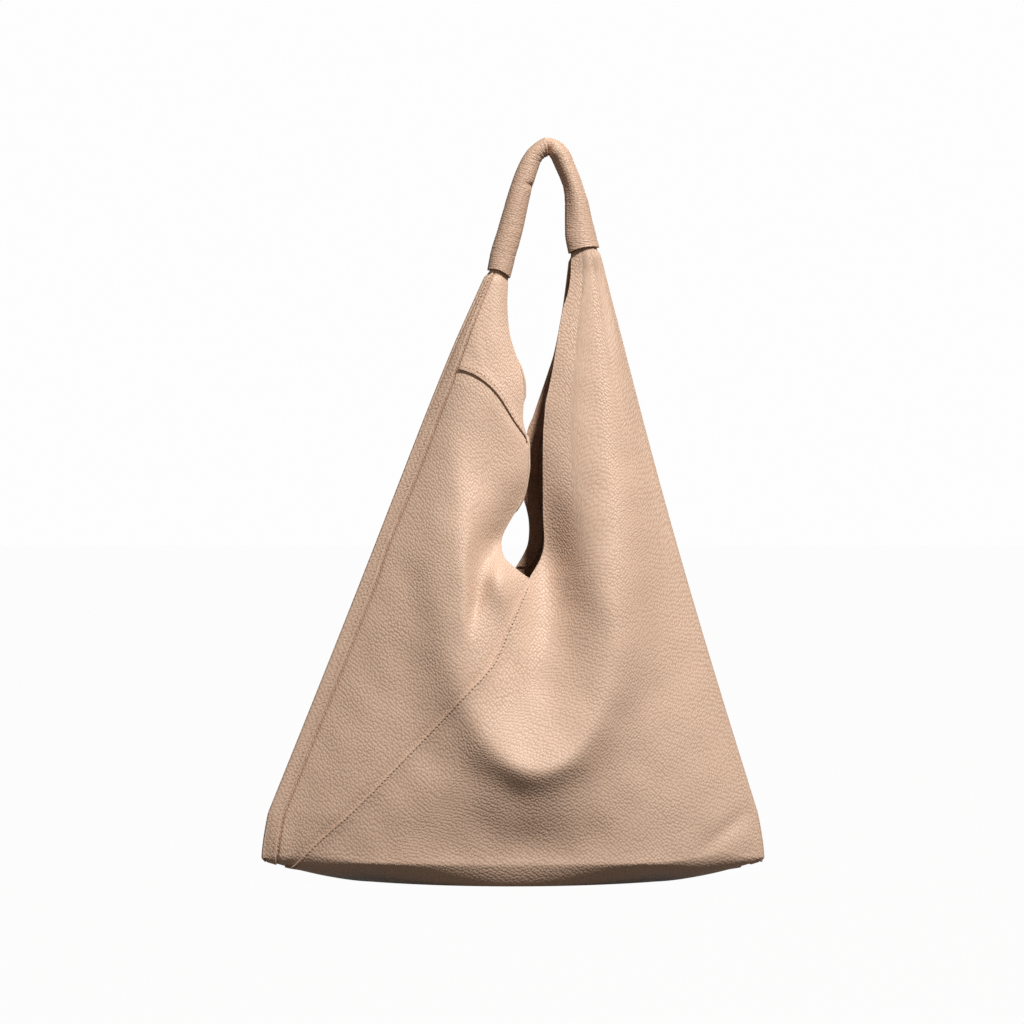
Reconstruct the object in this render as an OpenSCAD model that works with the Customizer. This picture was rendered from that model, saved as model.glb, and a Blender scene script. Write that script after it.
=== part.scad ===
// Trapeze bag: an unlined leather carrier with two leaves that meet in one tube handle.
// Millimetres. X to the right and Z up as seen from the front, which faces -Y.
// The origin is on the ground under the middle of the bag.

/* [Outline] */
// Width of the bag from fold to fold at its lower corners
base_w = 452; // [400:2:500]
// Height of the two lower corners above the ground
corner_z = 20; // [12:1:30]
// Height at which a corner runs out into the slanting fold
corner_top_z = 62; // [50:1:90]
// How far each fold has moved inwards at that height
corner_lean = 6; // [2:0.5:10]
// How far the left fold bows outwards between its ends
left_fold_bow = 2.9; // [0:0.1:6]
// How far the right fold bows inwards between its ends
right_fold_bow = 5; // [0:0.5:10]

/* [Depth] */
// Half of the bag's depth at the rim of the belly fold
belly_half_d = 69; // [55:1:80]
// Half of the depth of the lower walls, away from the belly fold
base_half_d = 50; // [44:1:58]
// Half of the depth of each arm where it meets the handle
neck_half_d = 10; // [8:0.5:12]
// Outside radius of the leather where it turns round a fold
fold_r = 4.5; // [3.5:0.5:7]
// Radius of the turn from the walls into the base
base_turn_r = 20; // [12:1:28]

/* [Belly fold and mouth] */
// Height of the rim of the belly fold
rim_z = 108; // [95:1:120]
// Height at which the rim's arch turns into the two upright ridges
arch_top_z = 230; // [205:1:245]
// Height of the bottom of the mouth
mouth_z = 273; // [250:1:300]
// Where the mouth ends on the front, to the right of the middle
front_mouth_x = 15; // [5:1:20]
// Where the mouth ends on the back
back_mouth_x = -5; // [-15:1:0]
// Middle of the front belly fold
front_belly_x = 22; // [16:1:30]
// Middle of the back belly fold
back_belly_x = -8; // [-16:1:-5]
// Half depth of the front and back walls at the bottom of the mouth
mouth_half_d = 28; // [22:1:34]
// Half depth of the bowl inside the belly fold
valley_half_d = 45; // [38:1:50]
// How far outside its crest the belly fold has run out into the wall
belly_fall = 32; // [22:1:42]

/* [Leather] */
// Thickness of the leather
leather_t = 1.8; // [1.4:0.1:2.4]
// Gap between the edges of two pieces that are sewn together
seam_gap = 0.4; // [0.3:0.1:0.8]
// Width of the strip that each large panel shows past its fold
strip_w = 9.5; // [7:0.5:14]
// Diameter of the sewing thread
thread_d = 0.8; // [0.6:0.1:1]

/* [Seams] */
// Where the diagonal seam runs out at the ground, from the middle
seam_foot_x = 205; // [195:1:210]
// Height of the tip seam at the edge of the mouth
tip_seam_low_z = 396; // [380:1:410]
// Height of the tip seam at the fold
tip_seam_high_z = 461; // [440:1:475]
// Width of the hem strips inside the mouth
facing_w = 11; // [8:1:14]
// Thickness of the hem strips
facing_t = 1; // [0.8:0.1:1.4]

/* [Base] */
// Half of the length of the flat base panel
base_half_l = 130; // [110:1:150]
// Half of the width of the flat base panel
base_half_w = 40; // [32:1:46]
// How much smaller the stiffening board is than the base panel, all round
board_inset = 8; // [6:0.5:14]
// Thickness of the stiffening board
board_t = 2; // [1.5:0.1:3]

/* [Handle] */
// Left mouth of the handle, to the left of the middle
left_mouth_x = 12.2; // [8:0.2:16]
// Height of the left mouth
left_mouth_z = 547.6; // [535:0.2:560]
// Right mouth of the handle, to the right of the middle
right_mouth_x = 63.5; // [58:0.5:68]
// Height of the right mouth
right_mouth_z = 567.6; // [560:0.2:578]
// Top of the handle's middle line, to the right of the middle
apex_x = 31.2; // [24:0.2:36]
// Height of the top of the handle's middle line
apex_z = 660.5; // [645:0.5:680]
// Outside radius of the handle at its left mouth
left_mouth_r = 12.1; // [11.5:0.1:13]
// Outside half width of the handle at its right mouth
right_mouth_r = 14.5; // [13:0.1:15.5]
// Outside half depth of the handle at both mouths
mouth_r_y = 12.1; // [11.5:0.1:13]
// Outside radius of the handle at its top
apex_r = 9.5; // [8.5:0.1:11]
// Gap between the cord filler and the handle's leather
core_clear = 0.7; // [0.4:0.1:1]
// Gap below the line between the mouths in which the necks bend
neck_gap = 12.5; // [12.5:0.5:16]
// Radius of the rolled end of each leaf inside the handle
roll_r = 4.5; // [3.5:0.1:5.5]
// Length of the rolled end
roll_l = 14; // [10:0.5:15]
// Thickness of the flattened neck that carries the rolled end
neck_blade_t = 3.6; // [2.8:0.1:4]

/* [Hidden] */

front = 1;
back = -1;
left = -1;
right = 1;

tan_leather = [0.83, 0.69, 0.58];
inner_leather = [0.62, 0.46, 0.35];
thread_colour = [0.55, 0.40, 0.31];

// Angle from the fold's middle plane at which the wall's curve turns into the fold's arc.
wrap_angle = 22;
// Each fold leans in above its corner with this power of the height.
corner_power = 1.5;
// The keel rises from the flat base to the corners with this power of the distance.
keel_power = 1.5;
// The left fold's bow sits high up, by this power of the height, and the right one in the middle.
left_bow_power = 3;
right_bow_power = 1;
// The ridges lose their depth towards the neck with this power of the height.
ridge_power = 1.05;
// Powers of the plan outline of the walls, low down and at the neck.
plan_power_low = 2.4;
plan_power_high = 1.6;
// Height over which the valley's line is evened out.
valley_soft = 16;
// Above the mouth's bottom the leaves turn from folded to rolled: where that starts and how long it takes.
roll_start = 30;
roll_soft = 70;
// Power that rounds the walls down to the folds.
fold_power = 12;
// Powers of the tip seam's curve, along it and up from the mouth.
tip_seam_power = 2.2;
tip_seam_rise_power = 0.77;
// Share of the turn at which a corner's dome stops short of its pole.
corner_open = 0.15;
// A small step for surface normals, in shares of the width and in millimetres.
step_e = 0.004;
step_w = 1;

// Edges of the mouth: share of the height from the mouth's bottom to the handle, then x.
front_left_lip = [[0, front_mouth_x], [0.035, 2], [0.07, -7.5], [0.115, -10.5], [0.15, -8],
    [0.2, -0.5], [0.26, 9], [0.35, 14], [0.4, 14.2], [0.453, 13], [0.49, 10.4], [0.52, 9], [0.56, 9.4],
    [0.6, 10.7], [0.643, 10.4], [0.69, 7], [0.738, 2], [0.797, -2.7], [0.86, -4.6], [0.92, -5], [1, -3]];
front_right_lip = [[0, front_mouth_x], [0.06, 25], [0.11, 28], [0.2, 27], [0.42, 27], [0.52, 29.2],
    [0.575, 32], [0.64, 35.8], [0.7, 38.6], [0.767, 42], [0.831, 46], [0.88, 50], [0.93, 51.8], [1, 52.3]];
back_right_lip = [[0, back_mouth_x], [0.03, 2], [0.09, 12], [0.13, 14.4], [0.18, 14], [0.25, 10],
    [0.35, 9.5], [0.44, 12.7], [0.5, 18.5], [0.56, 24.5], [0.63, 31.5], [0.69, 37], [0.8, 43.4],
    [0.9, 47.6], [1, 51]];
back_left_lip = [[0, back_mouth_x], [0.1, -15], [0.42, -12], [0.6, -8], [0.83, -8], [1, -5]];

// Half depth of the wall at the edges of the mouth, over the same shares.
left_lip_d = [[0, mouth_half_d], [0.06, 22], [0.12, 18.5], [0.26, 17], [0.43, 16], [0.86, 6], [1, 3]];
right_lip_d = [[0, mouth_half_d], [0.06, 24], [0.12, 22], [0.26, 19.5], [0.43, 17], [0.67, 13],
    [0.85, 8], [1, 3]];
// Below the mouth, the bowl: share of the height from the rim to the mouth's bottom, then share of
// the way from the depth at the mouth to the depth of the bowl.
bowl = [[0.37, 1], [0.5, 0.97], [0.65, 0.79], [0.8, 0.5], [1, 0]];
// The walls: share of the height of the left neck, then share of the way from the depth of the
// neck to the depth of the lower walls.
wall_profile = [[0, 1], [0.19, 1.05], [0.37, 1], [0.55, 0.76], [0.77, 0.36], [1, 0]];

// Ridges of the arms: share of the height from the arch to the handle, then x.
front_left_ridge = [[0, -45], [0.12, -44.5], [0.25, -43.5], [0.38, -39], [0.5, -34.5], [0.63, -29],
    [0.76, -25], [0.95, -18], [1, -15]];
front_right_ridge = [[0, 84], [0.12, 85.5], [0.24, 85], [0.35, 83.5], [0.47, 79.5], [0.59, 78.5],
    [0.83, 76], [1, 66]];
back_left_ridge = [[0, -62], [0.24, -55], [0.48, -42], [0.59, -34], [0.83, -21], [1, -14]];
back_right_ridge = [[0, 72], [0.24, 76], [0.62, 80], [0.84, 77], [1, 66]];

// The diagonal seam, as seen from the face that it is on: share of the mouth's height, then
// share of the way from the foot of the seam to the bottom of the mouth.
diagonal_seam = [[0, 0], [0.1, 0.091], [0.25, 0.291], [0.4, 0.473], [0.545, 0.645], [0.637, 0.75],
    [0.709, 0.832], [0.767, 0.873], [0.886, 0.936], [1, 1]];

// Left half of the handle's middle line: shares of the way from the mouth to the top.
left_arm = [[0, 0], [0.13, 0.17], [0.26, 0.35], [0.455, 0.62], [0.575, 0.77], [0.65, 0.86], [0.79, 0.94]];
// Right half: shares of the way from the mouth to the top.
right_arm = [[0, 0], [0.07, 0.15], [0.16, 0.45], [0.28, 0.66], [0.47, 0.82], [0.69, 0.957]];

function clamp01(v) = min(1, max(0, v));
function unit(v) = v / norm(v);
function mix(a, b, s) = a + (b - a) * s;
function smooth(s) = let (t = clamp01(s)) t ^ 2 * (3 - 2 * t);

// A smooth curve through points [u, value], held level past its ends.
function curve_place(u, pts, i = 0) =
    i >= len(pts) - 2 || u < pts[i + 1][0] ? i : curve_place(u, pts, i + 1);
function curve_slope(pts, i) =
    let (lo = max(0, i - 1), hi = min(len(pts) - 1, i + 1))
    (pts[hi][1] - pts[lo][1]) / (pts[hi][0] - pts[lo][0]);
function curve(u, pts) =
    let (
        v = min(pts[len(pts) - 1][0], max(pts[0][0], u)),
        i = curve_place(v, pts),
        h = pts[i + 1][0] - pts[i][0],
        s = (v - pts[i][0]) / h
    )
    (2 * s ^ 3 - 3 * s ^ 2 + 1) * pts[i][1] + (s ^ 3 - 2 * s ^ 2 + s) * h * curve_slope(pts, i)
        + (3 * s ^ 2 - 2 * s ^ 3) * pts[i + 1][1] + (s ^ 3 - s ^ 2) * h * curve_slope(pts, i + 1);

// Outline of the bag seen from the front.
left_neck_x = left_mouth_x + left_mouth_r;
right_neck_x = right_mouth_x + right_mouth_r;
function fold_line(w, neck_x, neck_z, bow, bow_power) =
    let (
        corner = base_w / 2,
        shoulder = corner - corner_lean,
        s = (w - corner_top_z) / (neck_z - corner_top_z)
    )
    w < corner_top_z
        ? corner - corner_lean * clamp01((w - corner_z) / (corner_top_z - corner_z)) ^ corner_power
        : mix(shoulder, neck_x, s) + bow * sin(180 * clamp01(s) ^ bow_power);
// Distance of a fold from the middle of the bag.
function fold_reach(hand, w) = hand == left
    ? fold_line(w, left_neck_x, left_mouth_z, left_fold_bow, left_bow_power)
    : fold_line(w, right_neck_x, right_mouth_z, -right_fold_bow, right_bow_power);
function mouth_share(hand, w) = (w - mouth_z) / ((hand == left ? left_mouth_z : right_mouth_z) - mouth_z);
function arm_share(hand, w) =
    (w - arch_top_z) / ((hand == left ? left_mouth_z : right_mouth_z) - arch_top_z);

function mouth_x(face) = face == front ? front_mouth_x : back_mouth_x;
function belly_x(face) = face == front ? front_belly_x : back_belly_x;
function lip_of(face, hand) = face == front
    ? (hand == left ? front_left_lip : front_right_lip)
    : (hand == left ? back_left_lip : back_right_lip);
function ridge_of(face, hand) = face == front
    ? (hand == left ? front_left_ridge : front_right_ridge)
    : (hand == left ? back_left_ridge : back_right_ridge);

// The middle line of a face: the edge of the mouth above its bottom, the valley below it.
function middle_x(face, hand, w) = w >= mouth_z
    ? curve(mouth_share(hand, w), lip_of(face, hand))
    : mix(belly_x(face), mouth_x(face), clamp01((w - arch_top_z) / (mouth_z - arch_top_z)) ^ 2);
function ridge_x(face, hand, w) = curve(arm_share(hand, w), ridge_of(face, hand));
// The line from which the depth is reckoned: the middle line, evened out.
function valley_x(face, hand, w) =
    (middle_x(face, hand, w - valley_soft) + 2 * middle_x(face, hand, w)
        + middle_x(face, hand, w + valley_soft)) / 4;

// Half depth along the middle line, along the ridge, and of the plain wall.
function middle_depth(hand, w) = w >= mouth_z
    ? curve(mouth_share(hand, w), hand == left ? left_lip_d : right_lip_d)
    : mix(mouth_half_d, valley_half_d, curve((w - rim_z) / (mouth_z - rim_z), bowl));
function ridge_depth(w) =
    mix(belly_half_d, neck_half_d, clamp01((w - rim_z) / (left_mouth_z - rim_z)) ^ ridge_power);
function wall_depth(x, w) =
    let (
        rise = clamp01(w / left_mouth_z),
        reach = (fold_reach(right, w) + fold_reach(left, w)) / 2,
        off_centre = (fold_reach(right, w) - fold_reach(left, w)) / 2,
        n = clamp01(abs(x - off_centre) / reach),
        edge = fold_r * cos(wrap_angle),
        middle = min(mix(neck_half_d, base_half_d, curve(rise, wall_profile)), ridge_depth(w))
    )
    edge + (middle - edge) * (1 - n ^ mix(plan_power_low, plan_power_high, rise));

// Half depth of a face at x and height w.
function face_depth(face, hand, x, w) =
    let (
        below = max(0, arch_top_z - w),
        c = valley_x(face, hand, w),
        half_ridge = max(1, abs(ridge_x(face, hand, w) - valley_x(face, hand, max(w, arch_top_z)))),
        across = abs(x - c) / half_ridge,
        down = below / (arch_top_z - rim_z),
        q = max(0.001, norm([across, down])),
        inside = middle_depth(hand, w),
        ridge = ridge_depth(max(w, rim_z)),
        wall = wall_depth(x, w),
        folded = smooth(q),
        rolled = 1 - (1 - min(q, 1)) ^ 2,
        rise = mix(folded, rolled, smooth((w - mouth_z - roll_start) / roll_soft)),
        past = norm([x - c, below]) * (1 - 1 / q),
        fold_x = hand * fold_reach(hand, w),
        edge = fold_r * cos(wrap_angle),
        near_fold = clamp01(abs(x - c) / max(1, abs(fold_x - c))),
        raw = q < 1
            ? mix(inside, ridge, rise)
            : mix(wall, ridge, exp(-(past / belly_fall) ^ 2))
    )
    edge + (raw - edge) * (1 - near_fold ^ fold_power);

// Height of the keel, in which the walls meet beyond the flat base, and the base's half width.
function keel_z(x) =
    corner_z * clamp01((abs(x) - base_half_l) / (base_w / 2 - base_half_l)) ^ keel_power;
base_arc_r = (base_half_l ^ 2 + base_half_w ^ 2) / (2 * base_half_w);
function base_edge(x) = abs(x) >= base_half_l
    ? 0
    : sqrt(base_arc_r ^ 2 - x ^ 2) - (base_arc_r - base_half_w);

// A point of a face. Going from -1 to 1, e runs from fold to fold, with the face's own right
// hand positive; 1 to 2 turns round that fold and 2 to 3 is the strip on the other face.
// The height w is measured along the wall, and counts from the keel.
function face_point(face, e, w) =
    let (
        hand = e < 0 ? -face : face,
        c = middle_x(face, hand, w),
        fold_x = hand * (fold_reach(hand, w) - fold_r * (1 - sin(wrap_angle))),
        x = c + (fold_x - c) * abs(e),
        turn_start = keel_z(x),
        depth_up = face_depth(face, hand, x, max(w, turn_start + base_turn_r)),
        turn_r = min(base_turn_r, depth_up),
        turn = clamp01(w / (turn_start + turn_r)),
        floor_depth = base_edge(x) + seam_gap,
        depth = turn < 1 ? mix(floor_depth, depth_up, sin(90 * turn)) : face_depth(face, hand, x, w),
        z = turn < 1 ? turn_start + turn_r * (1 - cos(90 * turn)) : w
    )
    [x, -face * depth, z];
function wrap_point(face, share, w) =
    let (
        angle = mix(wrap_angle, 180 - wrap_angle, share),
        reach = fold_reach(face, w) - fold_r,
        turn_start = keel_z(reach),
        turn = clamp01(w / (turn_start + fold_r)),
        r = fold_r * sin(90 * turn)
    )
    [face * (reach + r * sin(angle)), -face * r * cos(angle),
        turn < 1 ? turn_start + fold_r * (1 - cos(90 * turn)) : w];
function strip_share(w) = strip_w / (fold_reach(left, w) + fold_reach(right, w)) * 2;
function bag_point(face, e, w) =
    e <= 1 ? face_point(face, e, w)
    : e <= 2 ? wrap_point(face, e - 1, w)
    : face_point(-face, -1 + (e - 2) * strip_share(w), w);
function bag_normal(face, e, w) =
    let (
        across = bag_point(face, e + step_e, w) - bag_point(face, e - step_e, w),
        up = bag_point(face, e, w + step_w) - bag_point(face, e, max(0, w - step_w))
    )
    unit(cross(across, up));
function bag_offset(face, e, w, d) = bag_point(face, e, w) + bag_normal(face, e, w) * d;

// Triangles of a closed sheet from its outer points and its inner points, row by row.
function two(a, b, c, d) = [[a, c, b], [a, d, c]];
function sheet_faces(rows, cols) =
    let (n = rows * cols)
    concat(
        [for (r = [0 : rows - 2], c = [0 : cols - 2]) let (p = r * cols + c)
            each concat(two(p, p + 1, p + cols + 1, p + cols),
                two(n + p, n + p + cols, n + p + cols + 1, n + p + 1))],
        [for (c = [0 : cols - 2]) each two(c + 1, c, n + c, n + c + 1)],
        [for (c = [0 : cols - 2]) let (p = (rows - 1) * cols + c) each two(p, p + 1, n + p + 1, n + p)],
        [for (r = [0 : rows - 2]) let (p = r * cols) each two(p, p + cols, n + p + cols, n + p)],
        [for (r = [0 : rows - 2]) let (p = r * cols + cols - 1) each two(p + cols, p, n + p, n + p + cols)]
    );
// A sheet of leather over a grid of places [e, w], between two distances inside the surface.
module leather(face, places, outer_d = 0, inner_d = leather_t) {
    rows = len(places);
    cols = len(places[0]);
    outer = [for (row = places) each [for (p = row) bag_offset(face, p[0], p[1], -outer_d)]];
    inner = [for (row = places) each [for (p = row) bag_offset(face, p[0], p[1], -inner_d)]];
    polyhedron(points = concat(outer, inner), faces = sheet_faces(rows, cols));
}

// Heights of the tops of the leaves, below the line between the handle's mouths.
hinge_slope = (right_mouth_z - left_mouth_z) / (right_mouth_x + left_mouth_x);
hinge_dir = unit([1, 0, hinge_slope]);
function hinge_z(x) = left_mouth_z + (x + left_mouth_x) * hinge_slope;
function leaf_top(hand) = hinge_z(hand == left ? -left_neck_x : right_mouth_x - right_mouth_r) - neck_gap;

// Places of the seams. The seam of a face lies on its own left hand.
function gap_e(w) = seam_gap / (fold_reach(left, w) + fold_reach(right, w));
function seam_e(face, w) =
    let (
        share = curve(w / mouth_z, diagonal_seam),
        x = mix(-seam_foot_x, face * mouth_x(face), share),
        c = face * middle_x(face, -face, w),
        fold_x = -(fold_reach(-face, w) - fold_r * (1 - sin(wrap_angle)))
    )
    w >= mouth_z ? 0 : -(c - x) / (c - fold_x);
function strip_edge_e(w) = -1 + strip_share(w);
function tip_seam_z(s) =
    mix(tip_seam_low_z, tip_seam_high_z, (1 - clamp01(s) ^ tip_seam_power) ^ tip_seam_rise_power);

// Rows lie closer together near the ground, by this power.
low_rows = 24;
high_rows = 12;
row_power = 1.25;
function row_heights(top) = concat(
    [for (i = [0 : low_rows - 1]) mouth_z * (i / low_rows) ^ row_power],
    [for (i = [0 : high_rows]) mix(mouth_z, top, i / high_rows)]);

// Large panel: from the diagonal seam or the mouth, over its fold, to the strip's edge.
wide_cols = 22;
wrap_cols = 4;
corner_open_w = corner_open * (corner_z + fold_r);
module large_panel(face) {
    hand = face;
    leather(face, [for (w = row_heights(leaf_top(hand))) concat(
        [for (i = [0 : wide_cols]) [mix(seam_e(face, w) + gap_e(w), 1, i / wide_cols), w]],
        [for (i = [1 : wrap_cols]) [1 + i / wrap_cols, max(w, corner_open_w)]],
        [[2.5, w], [3 - gap_e(w) / strip_share(w), w]]
    )]);
}

// Small panel: between the strip, the diagonal seam or the mouth, and the tip seam.
small_cols = 13;
small_rows = 26;
module small_panel(face) {
    leather(face, [for (j = [0 : small_rows])
        [for (i = [0 : small_cols])
            let (
                s = i / small_cols,
                w = (tip_seam_z(s) - seam_gap / 2) * (j / small_rows) ^ row_power
            )
            [mix(strip_edge_e(w) + gap_e(w), seam_e(face, w) - gap_e(w), s), w]
        ]
    ]);
}

// Tip: above the tip seam, up to the handle.
tip_rows = 9;
module tip(face) {
    top = leaf_top(-face);
    leather(face, [for (j = [0 : tip_rows])
        [for (i = [0 : small_cols])
            let (s = i / small_cols, w = mix(tip_seam_z(s) + seam_gap / 2, top, j / tip_rows))
            [mix(strip_edge_e(w) + gap_e(w), -gap_e(w), s), w]
        ]
    ]);
}

// Hem strip along one edge of the mouth, just inside the leather.
facing_rows = 20;
facing_inset = 1;
// The strip never takes more than this share of a narrow arm.
facing_most = 0.75;
facing_clear = 0.5;
module facing(face, hand) {
    side = face * hand;
    top = leaf_top(hand) - plug_depth - facing_inset;
    places = [for (j = [0 : facing_rows])
        let (
            w = mix(mouth_z + facing_w, top, j / facing_rows),
            reach = abs(face_point(face, side, w)[0] - face_point(face, side * step_e, w)[0]),
            near = facing_inset / reach,
            far = min(facing_most, (facing_inset + facing_w) / reach)
        )
        [for (e = side > 0 ? [near, (near + far) / 2, far] : [-far, -(near + far) / 2, -near]) [e, w]]
    ];
    leather(face, places, leather_t + facing_clear, leather_t + facing_clear + facing_t);
}

// A round rod along points, with rings of the given half sizes across and in depth.
function path_tangent(pts, i) = unit(pts[min(i + 1, len(pts) - 1)] - pts[max(i - 1, 0)]);
function ring(centre, across, outward, half_across, half_out, sides) =
    [for (k = [0 : sides - 1]) let (a = 360 * k / sides)
        centre + across * half_across * cos(a) + outward * half_out * sin(a)];
function tube_faces(rings, sides) = [for (r = [0 : rings - 2], k = [0 : sides - 1])
    let (a = r * sides + k, b = r * sides + (k + 1) % sides)
    each two(a, b, b + sides, a + sides)];
// A cap is a fan round the middle of its ring.
function cap(first, sides, middle, is_start) = [for (k = [0 : sides - 1])
    let (a = first + k, b = first + (k + 1) % sides) is_start ? [middle, a, b] : [middle, b, a]];
function mean(pts, i = 0) = i == len(pts) - 1 ? pts[i] / len(pts) : pts[i] / len(pts) + mean(pts, i + 1);
module rod(rings, sides) {
    n = len(rings);
    polyhedron(
        points = concat([for (r = rings) each r], [mean(rings[0]), mean(rings[n - 1])]),
        faces = concat(tube_faces(n, sides), cap(0, sides, n * sides, true),
            cap((n - 1) * sides, sides, n * sides + 1, false)));
}
module hollow_rod(outer, inner, sides) {
    n = len(outer);
    inner_first = n * sides;
    last = (n - 1) * sides;
    polyhedron(points = concat([for (r = outer) each r], [for (r = inner) each r]), faces = concat(
        tube_faces(n, sides),
        [for (f = tube_faces(n, sides)) [f[0] + inner_first, f[2] + inner_first, f[1] + inner_first]],
        [for (k = [0 : sides - 1]) let (m = (k + 1) % sides)
            each two(m, k, inner_first + k, inner_first + m)],
        [for (k = [0 : sides - 1]) let (m = (k + 1) % sides)
            each two(last + k, last + m, inner_first + last + m, inner_first + last + k)]
    ));
}

// A thread that follows places [e, w] along a seam, half sunk in the leather.
thread_sides = 6;
module seam_thread(face, places) {
    pts = [for (p = places) bag_offset(face, p[0], p[1], 0)];
    rings = [for (i = [0 : len(pts) - 1])
        let (
            along = path_tangent(pts, i),
            outward = bag_normal(face, places[i][0], places[i][1]),
            across = unit(cross(along, outward))
        )
        ring(pts[i], across, cross(along, across), thread_d / 2, thread_d / 2, thread_sides)];
    rod(rings, thread_sides);
}
// Distance of the stitching from the edge of the upper piece, and of its ends from the corners.
stitch_inset = 2;
stitch_end = 12;
stitch_rings = 24;
// Share of the tip seam left bare at each of its ends.
tip_stitch_start = 0.03;
function inset_e(w) = stitch_inset * 2 / (fold_reach(left, w) + fold_reach(right, w));
module diagonal_thread(face) {
    seam_thread(face, [for (i = [0 : stitch_rings])
        let (w = mix(stitch_end, mouth_z - stitch_end, i / stitch_rings))
        [seam_e(face, w) + inset_e(w), w]]);
}
module side_thread(face) {
    top = leaf_top(-face) - stitch_end;
    seam_thread(face, [for (i = [0 : stitch_rings])
        let (w = mix(stitch_end * 2, top, i / stitch_rings)) [strip_edge_e(w) - inset_e(w), w]]);
}
module tip_thread(face) {
    rings = 16;
    seam_thread(face, [for (i = [0 : rings])
        let (s = mix(tip_stitch_start, 1 - tip_stitch_start, i / rings), w = tip_seam_z(s) + stitch_inset)
        [mix(strip_edge_e(w), 0, s), w]]);
}

// Base.
module base_outline(inset = 0) {
    r = base_arc_r - inset;
    shift = base_arc_r - base_half_w;
    intersection() {
        translate([0, -shift]) circle(r = r, $fn = 96);
        translate([0, shift]) circle(r = r, $fn = 96);
    }
}
board_clear = 0.5;
module base_board_shape() {
    translate([0, 0, leather_t + board_clear]) linear_extrude(board_t) base_outline(board_inset);
}

// Handle.
sleeve_sides = 16;
// How much narrower the handle is than at its mouths and its top: past the left mouth, below the
// top on the right, above the right mouth, and in depth past the left mouth.
left_pinch = 1.1;
top_pinch = 0.8;
right_pinch = 1.6;
depth_pinch = 0.6;
left_mouth = [-left_mouth_x, 0, left_mouth_z];
right_mouth = [right_mouth_x, 0, right_mouth_z];
apex = [apex_x, 0, apex_z];
function between(a, b, share) = [mix(a[0], b[0], share[0]), 0, mix(a[2], b[2], share[1])];
handle_route = concat(
    [for (s = left_arm) between(left_mouth, apex, s)],
    [apex],
    [for (i = [len(right_arm) - 1 : -1 : 0]) between(right_mouth, apex, right_arm[i])]);
apex_place = len(left_arm);
last_place = len(handle_route) - 1;
// Share of the way along the handle, counted in route points.
function handle_share(i) = i / last_place;
function sleeve_r(i) = let (s = handle_share(i))
    curve(s, [[0, left_mouth_r], [0.12, left_mouth_r - left_pinch], [0.54, apex_r],
        [0.72, apex_r - top_pinch], [0.92, right_mouth_r - right_pinch], [1, right_mouth_r]]);
function sleeve_r_y(i) = let (s = handle_share(i))
    curve(s, [[0, mouth_r_y], [0.12, mouth_r_y - depth_pinch], [0.54, apex_r], [0.72, apex_r],
        [1, mouth_r_y]]);
// Rings lie square to the route, and turn into the hinge line's plane at the mouths.
function sleeve_across(i) =
    let (
        along = path_tangent(handle_route, i),
        square = unit(cross([0, 1, 0], along)),
        mouth_side = i < apex_place ? hinge_dir : -hinge_dir,
        near_mouth = max(0, 1 - min(i, last_place - i) / 2)
    )
    unit(mix(square, mouth_side, near_mouth));
function sleeve_rings(inset, first = 0, last = last_place) = [for (i = [first : last])
    ring(handle_route[i], sleeve_across(i), [0, 1, 0],
        sleeve_r(i) - inset, sleeve_r_y(i) - inset, sleeve_sides)];
// The cord filler leaves room for the rolled ends of the leaves.
core_first = 2;
core_last = last_place - 2;

// The gathered end of a leaf: a plug that fills the arm, a flattened neck, and the rolled end
// that turns inside the handle.
plug_clear = 0.6;
plug_depth = 18;
plug_half_sides = 7;
// Shares of the arm's width at which the plug's ring starts and ends on each face.
plug_start = 0.06;
plug_end = 0.96;
// How far the neck keeps to the arm's middle line before it enters the handle.
neck_lean = 0.8;
plug_sides = 2 * plug_half_sides + 2;
function plug_side(face, hand, w) = [for (i = [0 : plug_half_sides])
    bag_offset(face, face * hand * mix(plug_start, plug_end, i / plug_half_sides), w,
        -leather_t - plug_clear)];
function reversed(pts) = [for (i = [len(pts) - 1 : -1 : 0]) pts[i]];
function plug_ring(hand, w) = hand == right
    ? concat(plug_side(front, hand, w), reversed(plug_side(back, hand, w)))
    : concat(plug_side(back, hand, w), reversed(plug_side(front, hand, w)));
function neck_ring(hand, centre) = [for (k = [0 : plug_sides - 1])
    let (a = (hand == right ? 180 : 0) + 360 * (k + 0.5) / plug_sides)
    centre + hinge_dir * roll_l / 2 * cos(a) + [0, 1, 0] * neck_blade_t / 2 * sin(a)];
module tongue(hand) {
    mouth = hand == left ? left_mouth : right_mouth;
    top = leaf_top(hand);
    plug_top = plug_ring(hand, top - plug_clear);
    middle = mean(plug_top);
    below_mouth = mix(mouth, [middle[0], 0, top], neck_lean);
    translate(mouth) rotate([0, 90 - atan(hinge_slope), 0])
        cylinder(r = roll_r, h = roll_l, center = true, $fn = 32);
    rod([plug_ring(hand, top - plug_depth), plug_ring(hand, top - plug_depth / 2), plug_top,
        neck_ring(hand, below_mouth), neck_ring(hand, mouth)], plug_sides);
}

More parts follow.
